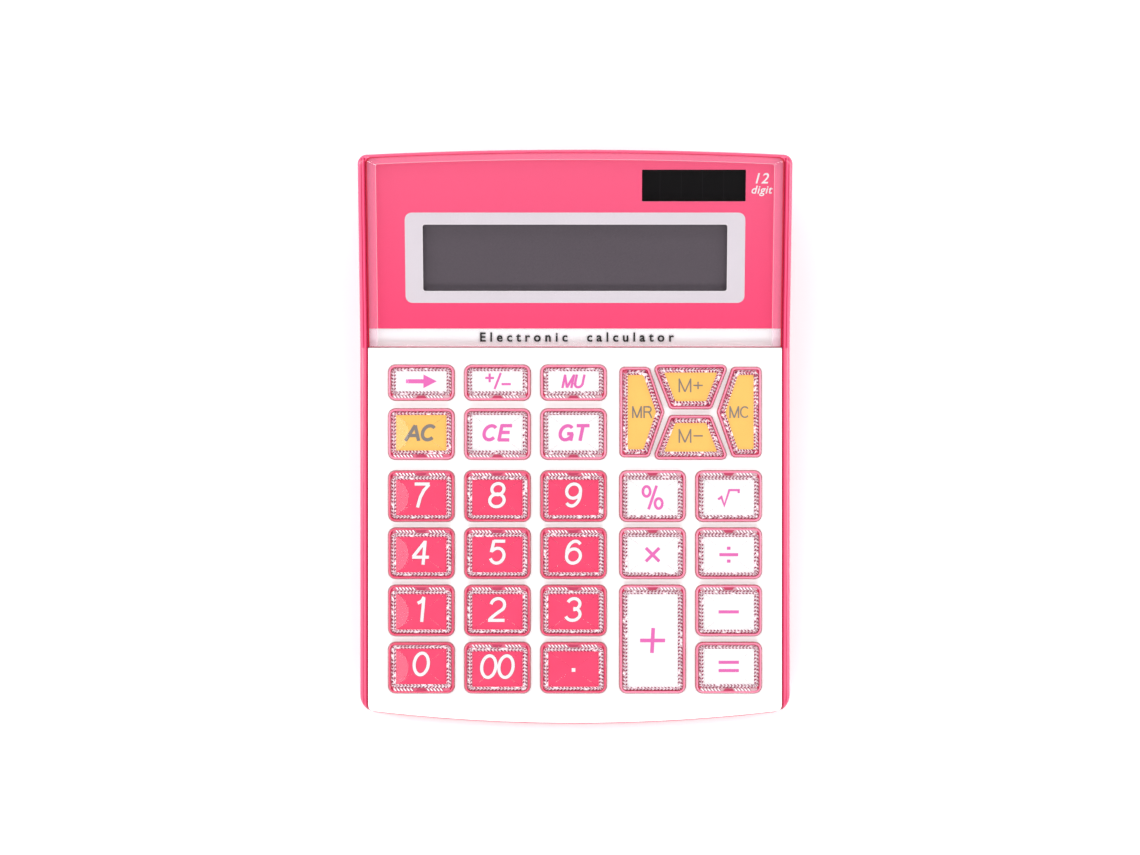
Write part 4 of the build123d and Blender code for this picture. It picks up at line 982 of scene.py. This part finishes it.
# ------------------------------------------------------------------ finishes on the fixed pieces
FINISHES = {
    "case_pink": ["bottom_case", "battery_door"],
    "case_white": ["top_case", "lcd_frame"],
    "lcd_grey": ["lcd_panel"],
    "flex": ["lcd_connector"],
    "solar_cell": ["solar_cell"],
    "lead_red": ["solar_leads", "battery_leads"],
    "board": ["main_board"],
    "silicone": ["keymat"],
    "epoxy": ["controller_blob", "board_components"],
    "cell_wrap": ["battery_cell"],
    "steel": ["battery_contact_positive", "battery_contact_negative", "case_screws", "board_screws",
              "lcd_screws"],
    "rubber": ["rubber_feet"],
}
for finish, nodes in FINISHES.items():
    for node in nodes:
        for material_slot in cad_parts[node].material_slots:
            material_slot.material = MATERIALS[finish]

# ------------------------------------------------------------------ stage, lights and camera
def stage_material():
    material, nodes, links, shader = node_material("stage_pale")
    shader.inputs["Base Color"].default_value = (0.93, 0.93, 0.93, 1)
    shader.inputs["Roughness"].default_value = 0.35
    shader.inputs["Emission Color"].default_value = (1, 1, 1, 1)
    shader.inputs["Emission Strength"].default_value = 0.12
    return material


floor_mesh = bpy.data.meshes.new("floor")
reach = 3.0
floor_corners = [(-reach, -reach, 0), (reach, -reach, 0), (reach, reach, 0), (-reach, reach, 0)]
floor_mesh.from_pydata(floor_corners, [], [(0, 1, 2, 3)])
floor_mesh.materials.append(stage_material())
floor = bpy.data.objects.new("floor", floor_mesh)
bpy.context.collection.objects.link(floor)

WALLS, HORIZON, CEILING_EDGE, CEILING = 0.9, (0.5, 0.8), (0.66, 0.12), 0.04
world = bpy.data.worlds.new("studio")
world.use_nodes = True
sky_nodes, sky_links = world.node_tree.nodes, world.node_tree.links
sky_place = sky_nodes.new("ShaderNodeTexCoord")
sky_split = sky_nodes.new("ShaderNodeSeparateXYZ")
sky_ramp = sky_nodes.new("ShaderNodeValToRGB")
sky_links.new(sky_place.outputs["Generated"], sky_split.inputs["Vector"])
sky_links.new(sky_split.outputs["Z"], sky_ramp.inputs["Fac"])
sky_links.new(sky_ramp.outputs["Color"], sky_nodes["Background"].inputs["Color"])
# bright walls and a dark ceiling, which the level faces mirror
sky_ramp.color_ramp.elements[0].color = (WALLS, WALLS, WALLS, 1)
sky_ramp.color_ramp.elements[1].color = (CEILING, CEILING, CEILING, 1)
for position, level in (HORIZON, CEILING_EDGE):
    element = sky_ramp.color_ramp.elements.new(position)
    element.color = (level, level, level, 1)
bpy.context.scene.world = world


def softbox(name, place, aim, size, power):
    light = bpy.data.lights.new(name, "AREA")
    light.shape = "RECTANGLE"
    light.size, light.size_y = size
    light.energy = power
    obj = bpy.data.objects.new(name, light)
    obj.location = place
    obj.rotation_euler = (Vector(aim) - Vector(place)).to_track_quat("-Z", "Y").to_euler()
    bpy.context.collection.objects.link(obj)


softbox("left_box", (-0.75, 0.1, 0.55), (0, 0, 0.02), (0.35, 0.9), 4.5)
softbox("right_box", (0.75, 0.0, 0.5), (0, 0, 0.02), (0.3, 0.9), 3.6)
softbox("rear_box", (0.0, 0.8, 0.7), (0, 0, 0.02), (0.9, 0.3), 4.5)
softbox("front_box", (0.0, -0.85, 0.55), (0, 0, 0.02), (1.0, 0.3), 5)
# two overhead boxes, placed so that only the outer columns' end facets mirror them
softbox("left_overhead", (-0.47, -0.16, 1.02), (-0.47, -0.16, 0), (0.4, 0.36), 1.4)
softbox("right_overhead", (0.45, -0.16, 1.02), (0.45, -0.16, 0), (0.4, 0.36), 1.4)

CAMERA_DISTANCE = 1020
AIM = (-1.7, -27.1)
FOCAL_LENGTH = 94.4
camera_data = bpy.data.cameras.new("camera")
camera_data.sensor_width = 36
camera_data.lens = FOCAL_LENGTH
camera_data.clip_end = 10
camera = bpy.data.objects.new("camera", camera_data)
camera.matrix_world = KEYBOARD @ Matrix.Translation((AIM[0] * MM, AIM[1] * MM, CAMERA_DISTANCE * MM))
bpy.context.collection.objects.link(camera)
bpy.context.scene.camera = camera
bpy.context.scene.view_settings.view_transform = "Standard"
